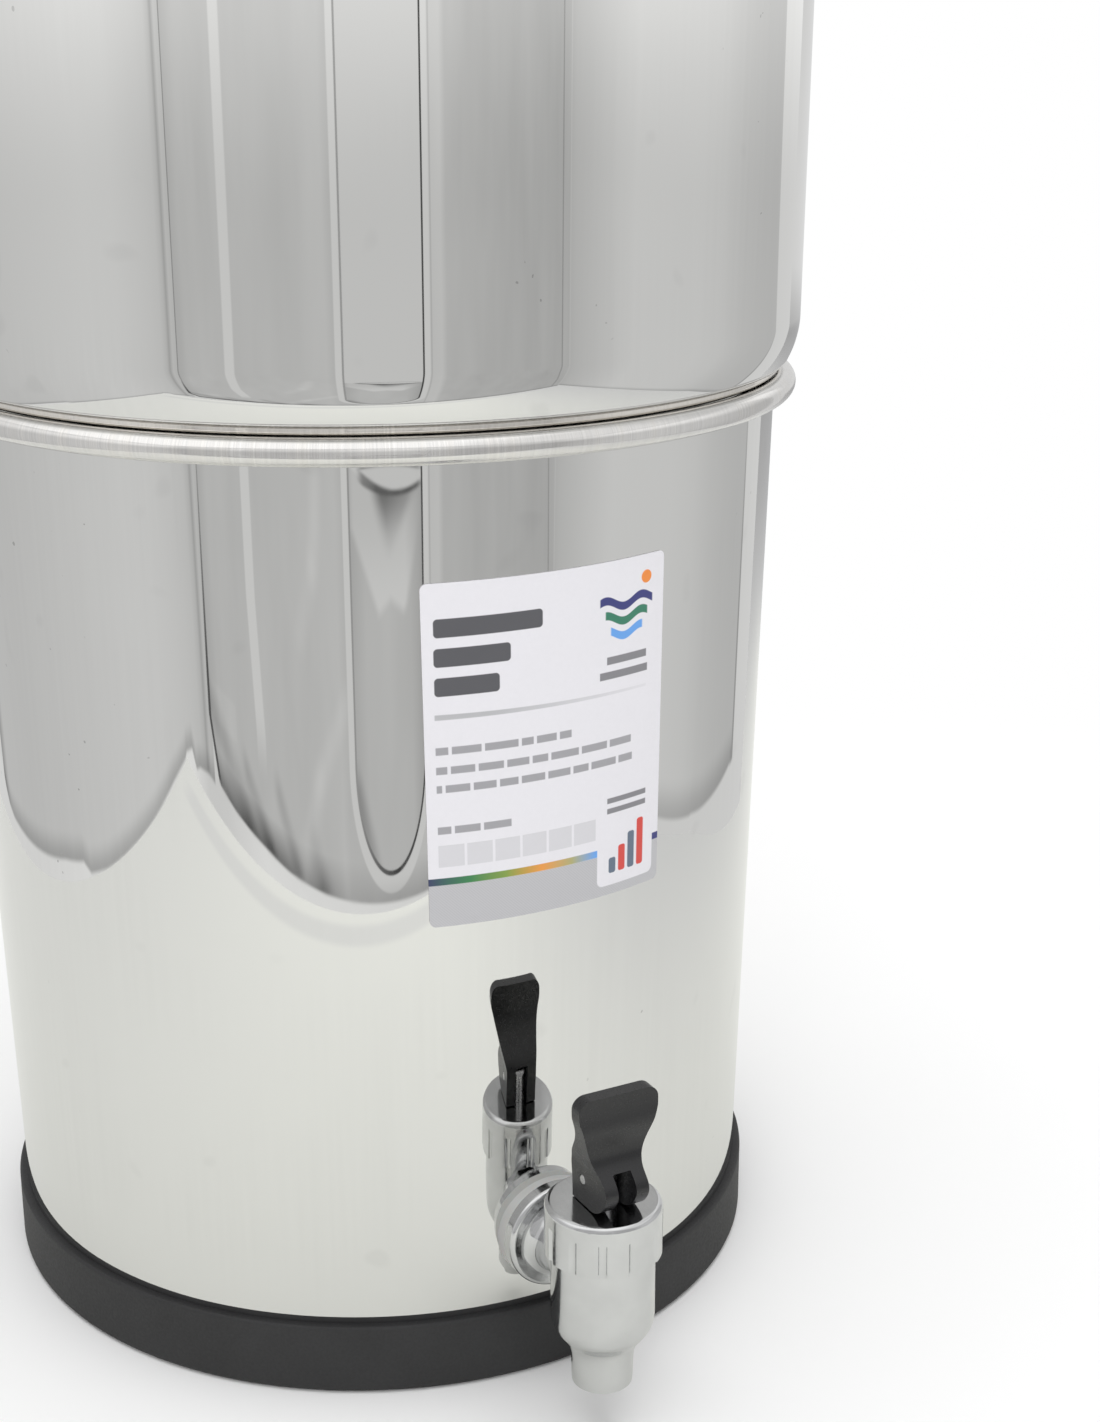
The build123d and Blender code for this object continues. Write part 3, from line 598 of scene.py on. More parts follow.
def noise(tree, vector, scale, detail=3.0, roughness=0.5):
    """Noise from 0 to 1, about 0.5 on average."""
    made = add_node(tree, "ShaderNodeTexNoise", {
        "Vector": vector, "Scale": scale, "Detail": detail, "Roughness": roughness,
    })
    return Wire(tree, made.outputs[0])


def grain(tree, scale, detail=3.0, roughness=0.5, stretch=(1, 1, 1), turn=(0, 0, 0)):
    """Noise on the object's own place. A stretch below 1 draws it out along that axis."""
    return noise(tree, object_place(tree, stretch, turn), scale, detail, roughness)


def mix(tree, factor, first, second, **settings):
    """Colour that goes from first to second with factor."""
    inputs = {0: factor, 6: first, 7: second}
    return add_node(tree, "ShaderNodeMix", inputs, data_type="RGBA", **settings).outputs[2]


def dimmed(base, gain):
    """Base colour times a gain."""
    return tuple(part * gain for part in base)


def tinted(tree, factor, base, low, high):
    """Base colour times a grey from low to high with factor."""
    return mix(tree, factor, dimmed(base, low), dimmed(base, high))


def bump(tree, height, strength, distance):
    """Normal of a surface with a small relief."""
    made = add_node(tree, "ShaderNodeBump", {
        "Height": height, "Strength": strength, "Distance": distance,
    })
    return made.outputs[0]


def slab(value, low, high, soft):
    """1 between low and high and 0 outside, with soft edges."""
    middle, half = (low + high) * 0.5, (high - low) * 0.5
    return abs(value - middle).fade(half + soft / 2, half - soft / 2)


def box_mask(x, y, low, high, soft):
    """1 inside the rectangle from corner low to corner high."""
    return slab(x, low[0], high[0], soft) * slab(y, low[1], high[1], soft)


def box_distance(x, y, low, high, corner):
    """Distance from a rectangle with round corners, negative inside it: the length of
    the part beyond its corner circles' centres, less the circles' radius."""
    across = abs(x - (low[0] + high[0]) / 2) - ((high[0] - low[0]) / 2 - corner)
    along = abs(y - (low[1] + high[1]) / 2) - ((high[1] - low[1]) / 2 - corner)
    beyond_x, beyond_y = across.math("MAXIMUM", 0.0), along.math("MAXIMUM", 0.0)
    beyond = (beyond_x * beyond_x + beyond_y * beyond_y).math("SQRT")
    within = across.math("MAXIMUM", along).math("MINIMUM", 0.0)
    return beyond + within - corner


# ---- finishes -------------------------------------------------------------------------

def polished_steel(colours):
    """Mirror stainless: faint upright streaks, a few specks, and a slow wave."""
    material, tree, shader = shaded("mirror_steel", Metallic=1.0)
    streaks = grain(tree, 520, stretch=(1, 1, 0.012))
    clouds = grain(tree, 17, detail=2)
    specks = grain(tree, 620, detail=0).fade(0.85, 0.88) * clouds.fade(0.55, 0.66)
    smudges = grain(tree, 95, detail=0).fade(0.75, 0.83)
    wave = grain(tree, 14, detail=0, stretch=(1, 1, 0.45))
    patches = clouds.fade(0.40, 0.60)
    tone = streaks.slope(0.3, 0.7) * patches + (1.0 - patches)
    base = tinted(tree, tone, colours.steel, 0.976, 1.0)
    dirt = specks * 0.5 + smudges * 0.07
    dress(
        shader,
        base=mix(tree, dirt, base, dimmed(colours.steel, 0.3)),
        normal=bump(tree, wave, 0.35, 0.03 * MM),
        roughness=streaks.slope(0.3, 0.75, 0.008, 0.026) + clouds * 0.008 + specks * 0.2,
    )
    return material


def crosswise(tree, density):
    """Noise that changes round the axis and not across a rim: it is read on the
    direction (x, y) / r."""
    flat = object_place(tree, scale=(1, 1, 0))
    direction = add_node(tree, "ShaderNodeVectorMath", {0: flat}, operation="NORMALIZE")
    return noise(tree, direction.outputs[0], density, detail=4, roughness=0.62)


def brushed_steel(name, base_colour, warm_colour, low, high):
    """Rolled edge, polished across its run: fine striations and a warm heat tint."""
    material, tree, shader = shaded(name, Metallic=1.0)
    fine, broad = crosswise(tree, 300), crosswise(tree, 26)
    base = mix(tree, broad.fade(0.42, 0.68) * 0.3, base_colour, warm_colour)
    lines = tinted(tree, fine.slope(0.3, 0.7), (1, 1, 1), 0.84, 1.0)
    dress(
        shader,
        base=mix(tree, 1.0, base, lines, blend_type="MULTIPLY"),
        normal=bump(tree, fine, 0.12, 0.02 * MM),
        roughness=broad.slope(0.35, 0.65, low, high),
    )
    return material


def satin_steel(colours):
    """Inside of the vessels: satin steel with rings left by the drawing tools."""
    material, tree, shader = shaded("satin_steel", Metallic=0.7)
    rings = grain(tree, 900, stretch=(0.02, 0.02, 1))
    dress(
        shader,
        base=tinted(tree, rings.slope(0.3, 0.7), colours.inner_steel, 0.86, 1.0),
        normal=bump(tree, rings, 0.25, 0.02 * MM),
        roughness=grain(tree, 1400, detail=2).slope(0.3, 0.7, 0.28, 0.40),
    )
    return material


def spun_steel(colours):
    """Mirror steel of the lid, with faint rings from its spinning. Its colour is a darker
    copy of the vessels' steel, dimmed against the bright roof light: painted shade.
    """
    material, tree, shader = shaded("spun_steel", Metallic=1.0)
    x, y, _ = split(tree, object_place(tree))
    radius = (x * x + y * y).math("SQRT")
    ringed = add_node(tree, "ShaderNodeCombineXYZ", {0: radius})
    rings = noise(tree, ringed.outputs[0], 1500, detail=4)
    clouds = grain(tree, 25, detail=2)
    dress(
        shader,
        # painted shade: the lid's steel is darker than the vessels' so that the roof
        # light's reflection stays below white
        base=tinted(tree, rings.slope(0.3, 0.7), colours.steel, 0.84, 0.92),
        normal=bump(tree, rings, 0.12, 0.01 * MM),
        roughness=rings.slope(0.3, 0.75, 0.03, 0.075) + clouds * 0.02,
    )
    return material


def plated(name, base_colour, roughness):
    """Plated metal: smooth, with faint clouds and hairline scratches."""
    material, tree, shader = shaded(name, Metallic=1.0)
    clouds = grain(tree, 120)
    hair = grain(tree, 1300, stretch=(1, 0.08, 1), turn=(0, 0, 0.5))
    worn = hair.slope(0.35, 0.8, roughness * 0.7, roughness * 1.8)
    dress(
        shader,
        base=tinted(tree, clouds.slope(0.3, 0.7), base_colour, 0.90, 1.0),
        normal=bump(tree, hair, 0.10, 0.01 * MM),
        roughness=worn + clouds * 0.03,
    )
    return material


def moulded(name, base_colour, low, high, skin_scale, relief, **inputs):
    """Moulded plastic, rubber or silicone: an even skin with a fine grain."""
    material, tree, shader = shaded(name, **inputs)
    skin = grain(tree, skin_scale)
    clouds = grain(tree, 60, detail=2)
    dress(
        shader,
        base=tinted(tree, clouds.slope(0.3, 0.7), base_colour, 0.88, 1.08),
        normal=bump(tree, skin, 0.5, relief),
        roughness=skin.slope(0.3, 0.7, low, high),
    )
    return material


def porous_ceramic(colours):
    """Fired ceramic of the candles: chalky, with pores and faint turning marks."""
    material, tree, shader = shaded("porous_ceramic", Roughness=0.92)
    pores = grain(tree, 1700, detail=4, roughness=0.7)
    rings = grain(tree, 420, detail=2, stretch=(0.05, 0.05, 1))
    tone = pores * 0.5 + grain(tree, 45) * 0.5
    dress(
        shader,
        base=tinted(tree, tone.slope(0.35, 0.65), colours.ceramic, 0.90, 1.05),
        normal=bump(tree, pores * 0.7 + rings * 0.3, 0.7, 0.08 * MM),
    )
    return material


# Places on the label are in millimetres from its lower left corner.
TITLE_BARS = (((2.6, 67.2), (27.1, 71.4)), ((2.5, 60.6), (19.6, 64.8)),
              ((2.5, 54.0), (17.0, 58.2)))
TITLE_CORNER = 0.9
SMALL_LINES = ((34.2, 41.5), (51.4, 37.0), (51.1, 32.7), (19.3, 23.0))  # end and height
SMALL_LINE_HEIGHT = 1.75
SMALL_LINE_TONE = 0.62
MARGIN = 2.4
RULE = (49.3, -0.009)           # height at the left edge, and its fall
RULE_END = 56
BOX_ROW = ((2.1, 14.3), (41.1, 19.5))
BOX_COUNT = 6
BOX_TONE = 0.42
HATCH_PITCH = 0.7
STRIPE = (10.0, 11.7)
STRIPE_TINTS = (
    (0.0, (0.035, 0.045, 0.12)), (0.22, (0.035, 0.22, 0.07)), (0.42, (0.22, 0.33, 0.05)),
    (0.62, (0.80, 0.31, 0.05)), (0.80, (0.42, 0.40, 0.17)), (0.95, (0.13, 0.36, 0.80)),
)
STRIPE_RUN = 43.0               # length that the stripe's tints run over
NOTCH = ((41.3, 2.3), (58.1, 30.0))
NOTCH_CORNER = 1.6
WAVE_TINTS = ((0.035, 0.04, 0.19), (0.03, 0.20, 0.12), (0.13, 0.36, 0.80))
WAVE_TOP = 69.5
WAVE_PITCH = 3.4
WAVE_ENDS = (41.5, 56.5)        # of the top wave; each one below is shorter
WAVE_HALF = 0.95
SPOT = ((54.6, 74.2), 1.5)
SPOT_TINT = (0.85, 0.26, 0.04)
LEVEL_GREY = (0.12, 0.16, 0.22)
LEVEL_RED = (0.66, 0.06, 0.045)
LEVEL_TINTS = (LEVEL_GREY, LEVEL_RED, LEVEL_GREY, LEVEL_RED)
LEVEL_BAR = ((44.6, 5.2), (46.6, 9.0))      # the first of the bars
LEVEL_STEP = (2.8, 2.6)         # from a bar to the next, and how much taller that is
LEVEL_CORNER = 0.6
MARK_LINES = (((43.5, 55.6), (54.9, 57.4)), ((41.6, 52.2), (55.3, 54.0)),
              ((44.0, 19.9), (55.6, 21.2)), ((44.0, 22.4), (55.6, 23.7)))
MARK_TONE = 0.8
SOFT_PRINT = 0.12


class Print:
    """Print on the label at places x, y. Each call lays ink over what is there."""

    def __init__(self, tree, x, y, ground):
        self.tree, self.x, self.y, self.top = tree, x, y, ground

    def ink(self, mask, tint):
        """Ink where the mask is 1."""
        self.top = mix(self.tree, mask, self.top, tint)

    def bar(self, low, high, corner, tint):
        """Bar with round corners."""
        away = box_distance(self.x, self.y, low, high, corner)
        self.ink(away.inside(SOFT_PRINT), tint)


def print_words(film, ink):
    """Plain bars in place of the title, and broken bars in place of the small lines."""
    for low, high in TITLE_BARS:
        film.bar(low, high, TITLE_CORNER, ink)
    for number, (end, middle) in enumerate(SMALL_LINES):
        breaks = add_node(
            film.tree, "ShaderNodeTexVoronoi",
            {"W": film.x * 0.155 + number * 7.3, "Scale": 1.0},
            voronoi_dimensions="1D", feature="DISTANCE_TO_EDGE",
        )
        words = Wire(film.tree, breaks.outputs["Distance"]).fade(0.045, 0.075)
        low = (MARGIN, middle - SMALL_LINE_HEIGHT / 2)
        high = (end, middle + SMALL_LINE_HEIGHT / 2)
        line = box_mask(film.x, film.y, low, high, 2 * SOFT_PRINT) * words
        film.ink(line * SMALL_LINE_TONE, ink)


def print_rule(film, pale):
    """Thin rule that falls a little and fades out to the right."""
    height, fall = RULE
    lift = film.y - height - film.x * fall
    half = film.x.slope(MARGIN, RULE_END, 0.62, 0.30)
    rule = (abs(lift) - half).inside(SOFT_PRINT) * slab(film.x, MARGIN, RULE_END - 1, 0.3)
    film.ink(rule * film.x.slope(15, RULE_END, 1.0, 0.15), pale)


def print_boxes(film, pale):
    """Row of pale boxes for a date."""
    (left, foot), (right, top) = BOX_ROW
    pitch = (right - left) / BOX_COUNT
    gaps = slab((film.x - left).math("MODULO", pitch), 0.3, pitch - 0.3, 0.2)
    boxes = box_mask(film.x, film.y, (left, foot), (right, top), 0.2) * gaps
    film.ink(boxes * BOX_TONE, pale)


def print_band(film, pale):
    """Hatched grey band at the foot, and a coloured stripe above it."""
    hatch = (film.x + film.y).math("MODULO", HATCH_PITCH) - HATCH_PITCH / 2
    tone = abs(hatch).slope(0.1, 0.25, 0.86, 1.0)
    film.ink(slab(film.y, -2.0, STRIPE[0], 0.2) * tone, pale)
    ramp = add_node(film.tree, "ShaderNodeValToRGB", {0: film.x * (1 / STRIPE_RUN)})
    stops = ramp.color_ramp.elements
    while len(stops) < len(STRIPE_TINTS):
        stops.new(0.5)
    for stop, (place, tint) in zip(stops, STRIPE_TINTS):
        stop.position = place
        stop.color = (*tint, 1.0)
    right_end = film.x.fade(57.0, 58.0)
    tint = mix(film.tree, right_end, ramp.outputs[0], WAVE_TINTS[0])
    film.ink(slab(film.y, *STRIPE, 0.2), tint)


def print_marks(film, ink):
    """Generic marks: three short waves with a spot, and rising level bars."""
    curve = (film.x * 0.62).math("SINE") * 0.9
    for number, tint in enumerate(WAVE_TINTS):
        lift = film.y - curve - (WAVE_TOP - WAVE_PITCH * number)
        left, right = WAVE_ENDS[0] + 1.5 * number, WAVE_ENDS[1] - 1.5 * number
        wave = (abs(lift) - WAVE_HALF).inside(SOFT_PRINT) * slab(film.x, left, right, 0.4)
        film.ink(wave, tint)
    (spot_x, spot_y), radius = SPOT
    off_x, off_y = film.x - spot_x, film.y - spot_y
    away = (off_x * off_x + off_y * off_y).math("SQRT")
    film.ink(away.fade(radius + SOFT_PRINT, radius - SOFT_PRINT), SPOT_TINT)
    (left, foot), (right, top) = LEVEL_BAR
    for number, tint in enumerate(LEVEL_TINTS):
        along, taller = LEVEL_STEP[0] * number, LEVEL_STEP[1] * number
        film.bar((left + along, foot), (right + along, top + taller), LEVEL_CORNER, tint)
    for low, high in MARK_LINES:
        film.ink(box_mask(film.x, film.y, low, high, 2 * SOFT_PRINT) * MARK_TONE, ink)


def printed_label(colours, small):
    """Printed vinyl film. The print is worked out from the film's UV map, and a white
    notch with the level bars cuts into its band and stripe."""
    material, tree, shader = shaded(
        "printed_label", Roughness=0.42, Coat_Weight=0.25, Coat_Roughness=0.18
    )
    source = add_node(tree, "ShaderNodeTexCoord")
    u, v, _ = split(tree, source.outputs["UV"])
    paper = grain(tree, 900)
    white = tinted(tree, paper.slope(0.3, 0.7), colours.label_white, 0.985, 1.0)
    film = Print(tree, u * (small.label_width / MM), v * (small.label_height / MM), white)
    print_words(film, colours.ink)
    print_rule(film, colours.pale_ink)
    print_boxes(film, colours.pale_ink)
    print_band(film, colours.pale_ink)
    film.bar(*NOTCH, NOTCH_CORNER, white)
    print_marks(film, colours.ink)
    dress(shader, base=film.top, normal=bump(tree, paper, 0.15, 0.01 * MM))
    return material


FINISHES = {}


def make_finishes():
    """All materials, by the name that the pieces use."""
    scene = bpy.context.scene
    colours, small = scene.filter_colours, scene.filter_small
    FINISHES.update(
        mirror=polished_steel(colours),
        rim=brushed_steel(
            "brushed_rim", colours.rim_steel, colours.bead_steel, 0.09, 0.20
        ),
        bead=brushed_steel(
            "warm_bead", colours.bead_steel, colours.rim_steel, 0.04, 0.09
        ),
        satin=satin_steel(colours),
        polished_steel=spun_steel(colours),
        tap_metal=plated("tap_plating", colours.chrome, 0.11),
        fastener_steel=plated("fastener_steel", colours.fastener, 0.24),
        black_plastic=moulded(
            "black_plastic", colours.knob, 0.26, 0.36, 2200, 0.02 * MM,
            Specular_IOR_Level=0.5,
        ),
        black_rubber=moulded(
            "black_rubber", colours.rubber, 0.58, 0.72, 1500, 0.04 * MM,
            Specular_IOR_Level=0.4,
        ),
        silicone=moulded(
            "silicone", colours.silicone, 0.42, 0.55, 1200, 0.02 * MM,
            Subsurface_Weight=0.15, Subsurface_Scale=2 * MM,
        ),
        white_plastic=moulded(
            "white_plastic", colours.white_plastic, 0.32, 0.44, 1600, 0.02 * MM
        ),
        ceramic=porous_ceramic(colours),
        label_film=printed_label(colours, small),
    )


# ---- pieces ---------------------------------------------------------------------------

CHAMBER_FINISHES = ("mirror", "rim", "satin", "bead")
MIRROR, RIM, SATIN, BEAD = range(4)     # their numbers on a chamber's faces
RIM_MARGIN = 0.05 * MM          # a rim's finish reaches this far from its tube
BEAD_MARGIN = 0.1 * MM
ROLL_STEPS = 44                 # of a rim's arc
TAP_WINDOW = 2.0                # window of the grid round a hole, in radii of the hole
FILTER_WINDOW = 2.4
HOLE_COLUMNS = 9                # half its width, in columns
LABEL_RINGS = 26
COIL_STEPS = 48                 # of the spring, in one turn
WIRE_SIDES = 12


def rim_centre(high, sizes):
    """Centre of a rolled rim's tube, from its chamber's upper corner."""
    return np.array((high.x - sizes.rim_tube, high.z - sizes.rim_tube))


def wall_top(centre, draft, sizes):
    """Top of the outside wall, where the rim begins. The wall touches the circle of the
    rim's inner face at the wall's own slant."""
    slant = math.atan(draft)
    inner = sizes.rim_tube - sizes.sheet
    return centre + inner * np.array((-math.cos(slant), math.sin(slant)))


def rim_roll(centre, draft, sizes):
    """Inner face of a rolled rim: an arc outward over the top and back under."""
    first = math.pi - math.atan(draft)
    inner = sizes.rim_tube - sizes.sheet
    return arc(centre, inner, first, first - sizes.rim_curl, ROLL_STEPS)[1:]


def lower_radius(height, sizes):
    """Outside radius of the lower wall at a height: it falls evenly with the draft."""
    top = wall_top(rim_centre(LOWER_HIGH, sizes), sizes.lower_draft, sizes)
    return top[0] - sizes.lower_draft * (top[1] - height)


def lower_profile(sizes):
    """Section of the lower chamber, from the middle of its floor to its rim and back."""
    centre = rim_centre(LOWER_HIGH, sizes)
    foot = LOWER_LOW.z
    top = wall_top(centre, sizes.lower_draft, sizes)
    body = rounded(
        [(0, foot + sizes.panel_rise), (sizes.panel_radius, foot + sizes.panel_rise),
         (sizes.panel_radius + sizes.panel_slope, foot),
         (lower_radius(foot, sizes), foot), top],
        [sizes.panel_rise, sizes.panel_rise, sizes.corner],
    )
    path = np.concatenate((body, rim_roll(centre, sizes.lower_draft, sizes)))
    return two_faces(dense(path, 9 * MM), sizes.sheet)


def tap_hole(sizes):
    """Edge of the tap's hole in the wall: x = R cos a, z = height + R sin a."""
    def edge(start, end, spin):
        height = sizes.tap_height + sizes.tap_hole * np.sin(spin)
        along = (height - start[1]) / (end[1] - start[1])
        radius = start[0] + along * (end[0] - start[0])
        return along, 1.5 * math.pi + np.arcsin(sizes.tap_hole * np.cos(spin) / radius)
    return edge


def filter_hole(sizes, middle):
    """Edge of a hole in the floor: a circle centred on the filters' circle."""
    def edge(start, end, spin):
        outward = sizes.filter_circle + sizes.filter_hole * np.sin(spin)
        sideways = sizes.filter_hole * np.cos(spin)
        radius = np.hypot(outward, sideways)
        return (radius - start[0]) / (end[0] - start[0]), middle + np.arctan2(
            sideways, outward
        )
    return edge


def near(points, quads, centre, reach):
    """Quads whose middle is within reach of a circle's line round the axis."""
    middle = points[quads].mean(axis=1)
    radius = np.hypot(middle[:, 0], middle[:, 1])
    return np.hypot(radius - centre[0], middle[:, 2] - centre[1]) < reach


def build_lower_chamber(sizes):
    """Lower chamber: mirror wall, brushed rim, satin inside."""
    profile = lower_profile(sizes)
    clear = TAP_WINDOW * sizes.tap_hole
    rows = [nearest_row(profile, (lower_radius(height, sizes), height))
            for height in (sizes.tap_height - clear, sizes.tap_height + clear)]
    hole = (rows, columns_at(1.5 * math.pi, HOLE_COLUMNS), tap_hole(sizes))
    points, quads, outer = turned_sheet(profile, [hole])
    bands = np.where(outer, MIRROR, SATIN)
    rim = near(points, quads, rim_centre(LOWER_HIGH, sizes), sizes.rim_tube + RIM_MARGIN)
    bands[rim] = RIM
    mesh = make_mesh("lower_shell", points, quads, bands)
    add_piece(mesh, "lower", "polished_steel", "lower_chamber", CHAMBER_FINISHES[:3])


def upper_profile(sizes):
    """Section of the upper chamber, from the middle of its floor, up the spigot, round
    the seat bead, out along the shoulder and up to its rim, and back."""
    lower = rim_centre(LOWER_HIGH, sizes)
    centre = rim_centre(UPPER_HIGH, sizes)
    floor = UPPER_LOW.z
    slant = math.atan(sizes.lower_draft)
    mouth = lower_radius(lower[1], sizes) - sizes.sheet / math.cos(slant)
    bead = bead_centre(sizes)
    under = bead[1] - sizes.bead
    spigot_top = mouth - sizes.spigot_clearance
    spigot_foot = spigot_top - sizes.spigot_draft * (under - floor)
    crease = np.array((bead[0] + sizes.bead, under + sizes.bead_neck))
    start = sizes.turn_start
    turn_foot = crease + sizes.crease_run * np.array((math.sin(start), math.cos(start)))
    turn_centre = turn_foot + sizes.turn * np.array((-math.cos(start), math.sin(start)))
    begin = sizes.shoulder_start
    shoulder_centre = turn_centre + (sizes.turn - sizes.shoulder) * np.array(
        (math.cos(begin), -math.sin(begin))
    )
    top = wall_top(centre, sizes.upper_draft, sizes)
    path = np.concatenate((
        rounded(
            [(0, floor), (spigot_foot, floor), (spigot_top, under),
             (bead[0] + sizes.bead, under), crease, turn_foot],
            [sizes.spigot_corner, sizes.spigot_fillet, sizes.bead, sizes.crease],
        ),
        arc(turn_centre, sizes.turn, -start, -begin, 10)[1:],
        arc(shoulder_centre, sizes.shoulder, -begin, -math.atan(sizes.upper_draft), 24)[1:],
        [top],
        rim_roll(centre, sizes.upper_draft, sizes),
    ))
    return two_faces(dense(path, 9 * MM), sizes.sheet)


def bead_centre(sizes):
    """Centre of the seat bead: it lies a small gap above the lower rim's tube."""
    lower = rim_centre(LOWER_HIGH, sizes)
    reach = sizes.rim_tube + sizes.bead_gap + sizes.bead
    rise = math.sqrt(reach**2 - sizes.bead_inset**2)
    return lower + np.array((-sizes.bead_inset, rise))


def build_upper_chamber(sizes):
    """Upper chamber: mirror wall and shoulder, brushed rim, warm bead, satin inside."""
    profile = upper_profile(sizes)
    clear = FILTER_WINDOW * sizes.filter_hole
    rows = [nearest_row(profile, (radius, UPPER_LOW.z))
            for radius in (sizes.filter_circle - clear, sizes.filter_circle + clear)]
    holes = []
    for middle in math.tau * np.arange(sizes.filter_holes) / sizes.filter_holes:
        columns = columns_at(middle, HOLE_COLUMNS)
        holes.append((rows, columns, filter_hole(sizes, middle)))
    points, quads, outer = turned_sheet(profile, holes)
    bands = np.where(outer, MIRROR, SATIN)
    rim = near(points, quads, rim_centre(UPPER_HIGH, sizes), sizes.rim_tube + RIM_MARGIN)
    bead = near(points, quads, bead_centre(sizes), sizes.bead + BEAD_MARGIN)
    bands[rim] = RIM
    bands[bead & outer] = BEAD
    mesh = make_mesh("upper_shell", points, quads, bands)
    add_piece(mesh, "upper", "polished_steel", "upper_chamber", CHAMBER_FINISHES)


def build_lid(sizes, lid):
    """Lid: domed sheet with a locating groove and a short skirt, read from the skirt in
    to the screw's hole. The dome is an arc that leaves the flat level."""
    centre = rim_centre(UPPER_HIGH, sizes)
    locating = centre[0] - sizes.rim_tube - lid.clearance - lid.sheet
    flange = UPPER_HIGH.z + lid.seat_gap + lid.sheet
    groove = LID_LOW.z + lid.sheet
    skirt = LID_HIGH.x
    edge = np.array((locating - lid.groove_width, centre[1] + lid.dome_edge))
    run, drop = edge[0] - lid.flat, LID_HIGH.z - edge[1]
    radius = (run**2 + drop**2) / (2 * drop)
    steep = math.asin(run / radius)
    path = np.concatenate((
        rounded(
            [(skirt, centre[1] - lid.skirt_drop), (skirt, flange), (locating, flange),
             (locating, groove), (edge[0] + lid.groove_bend, groove), edge],
            [lid.skirt_bend, lid.mouth_bend, lid.groove_bend, lid.groove_bend],
        )[:-1],
        arc((lid.flat, LID_HIGH.z - radius), radius, math.pi / 2 - steep, math.pi / 2, 40),
        [(lid.screw, LID_HIGH.z)],
    ))
    profile = two_faces(dense(path, 6 * MM), lid.sheet)
    mesh = turned_mesh("lid_shell", profile, wrap_rows=True)
    add_piece(mesh, "cover", "polished_steel", "lid")


def build_knob(lid):
    """Turned knob: a waisted neck under a crowned head, over the screw's bore."""
    foot = KNOB_LOW.z
    radius = KNOB_HIGH.x
    under = foot + lid.knob_edge_height
    over = under + lid.knob_edge
    run, drop = radius, KNOB_HIGH.z - over
    crown = (run**2 + drop**2) / (2 * drop)
    steep = math.asin(run / crown)
    neck = arc_through(
        (lid.knob_foot, foot), (lid.knob_waist, foot + lid.knob_waist_height),
        (radius, under), 48,
    )
    dome = arc((0, KNOB_HIGH.z - crown), crown, math.pi / 2 - steep, math.pi / 2, 40)
    low_corner, high_corner = neck[-1], dome[0]
    neck = neck[np.linalg.norm(neck - low_corner, axis=1) > lid.knob_round]
    dome = dome[np.linalg.norm(dome - high_corner, axis=1) > lid.knob_round]
    profile = np.concatenate((
        [(0, foot + lid.screw_grip), (lid.screw, foot + lid.screw_grip),
         (lid.screw, foot)],
        neck,
        bend(neck[-1], low_corner, low_corner + (0, lid.knob_round))[1:],
        bend(high_corner - (0, lid.knob_round), high_corner, dome[0])[:-1],
        dome,
    ))
    mesh = turned_mesh("knob_turning", dense(profile, 2 * MM))
    add_piece(mesh, "cover", "black_plastic", "lid_knob")


def build_base_ring(sizes, small):
    """Rubber ring under the lower chamber, whose inner face follows the vessel's."""
    foot = LOWER_LOW.z
    rim = RING_HIGH.z
    bed = rounded(
        [(small.ring_inside, foot), (lower_radius(foot, sizes), foot),
         (lower_radius(rim, sizes), rim)],
        [sizes.corner], steps=16,
    )
    skin = rounded(
        [(small.ring_inside, 0), (RING_HIGH.x, 0), (RING_HIGH.x, rim), bed[-1]],
        [small.ring_round, small.ring_lip], steps=8,
    )
    profile = dense(np.concatenate((skin, bed[::-1][1:], skin[:1])), 3 * MM)[:-1]
    mesh = turned_mesh("base_ring_rubber", profile, wrap_rows=True)
    add_piece(mesh, "lower", "black_rubber", "base_ring")


def build_label(sizes, small):
    """Label film: rings from the middle to the edge of a rounded rectangle, wrapped on
    the wall's cone: sideways x becomes the angle x / R, and the front stands proud."""
    half = np.array((small.label_width, small.label_height)) / 2
    corner = small.label_corner
    edge = np.concatenate([
        (half - corner) * sign
        + arc((0, 0), corner, (1 - n) * math.pi / 2, -n * math.pi / 2, 8)
        for n, sign in enumerate(((1, 1), (1, -1), (-1, -1), (-1, 1)))
    ])
    edge = dense(np.vstack((edge, edge[:1])), 2.5 * MM)[:-1]
    inward = np.linspace(0, 1, LABEL_RINGS)
    rings = np.concatenate((inward, inward[::-1]))[:, None, None] * edge
    proud = np.repeat((small.label_film, 0.0), inward.size)[:, None]
    tilt = small.label_tilt
    x = rings[..., 0] * math.cos(tilt) - rings[..., 1] * math.sin(tilt)
    z = rings[..., 0] * math.sin(tilt) + rings[..., 1] * math.cos(tilt)
    z = z + small.label_middle
    radius = lower_radius(z, sizes) + small.label_adhesive + proud
    around = x / lower_radius(small.label_middle, sizes) - math.pi / 2
    points = np.stack((radius * np.cos(around), radius * np.sin(around), z), axis=-1)
    places = (rings + half) / (2 * half)
    quads = grid_quads(len(rings), len(edge)).reshape(-1, 4)
    mesh = make_mesh(
        "label_print", points.reshape(-1, 3), quads, places=places.reshape(-1, 2)
    )
    add_piece(mesh, "lower", "label_film", "label")


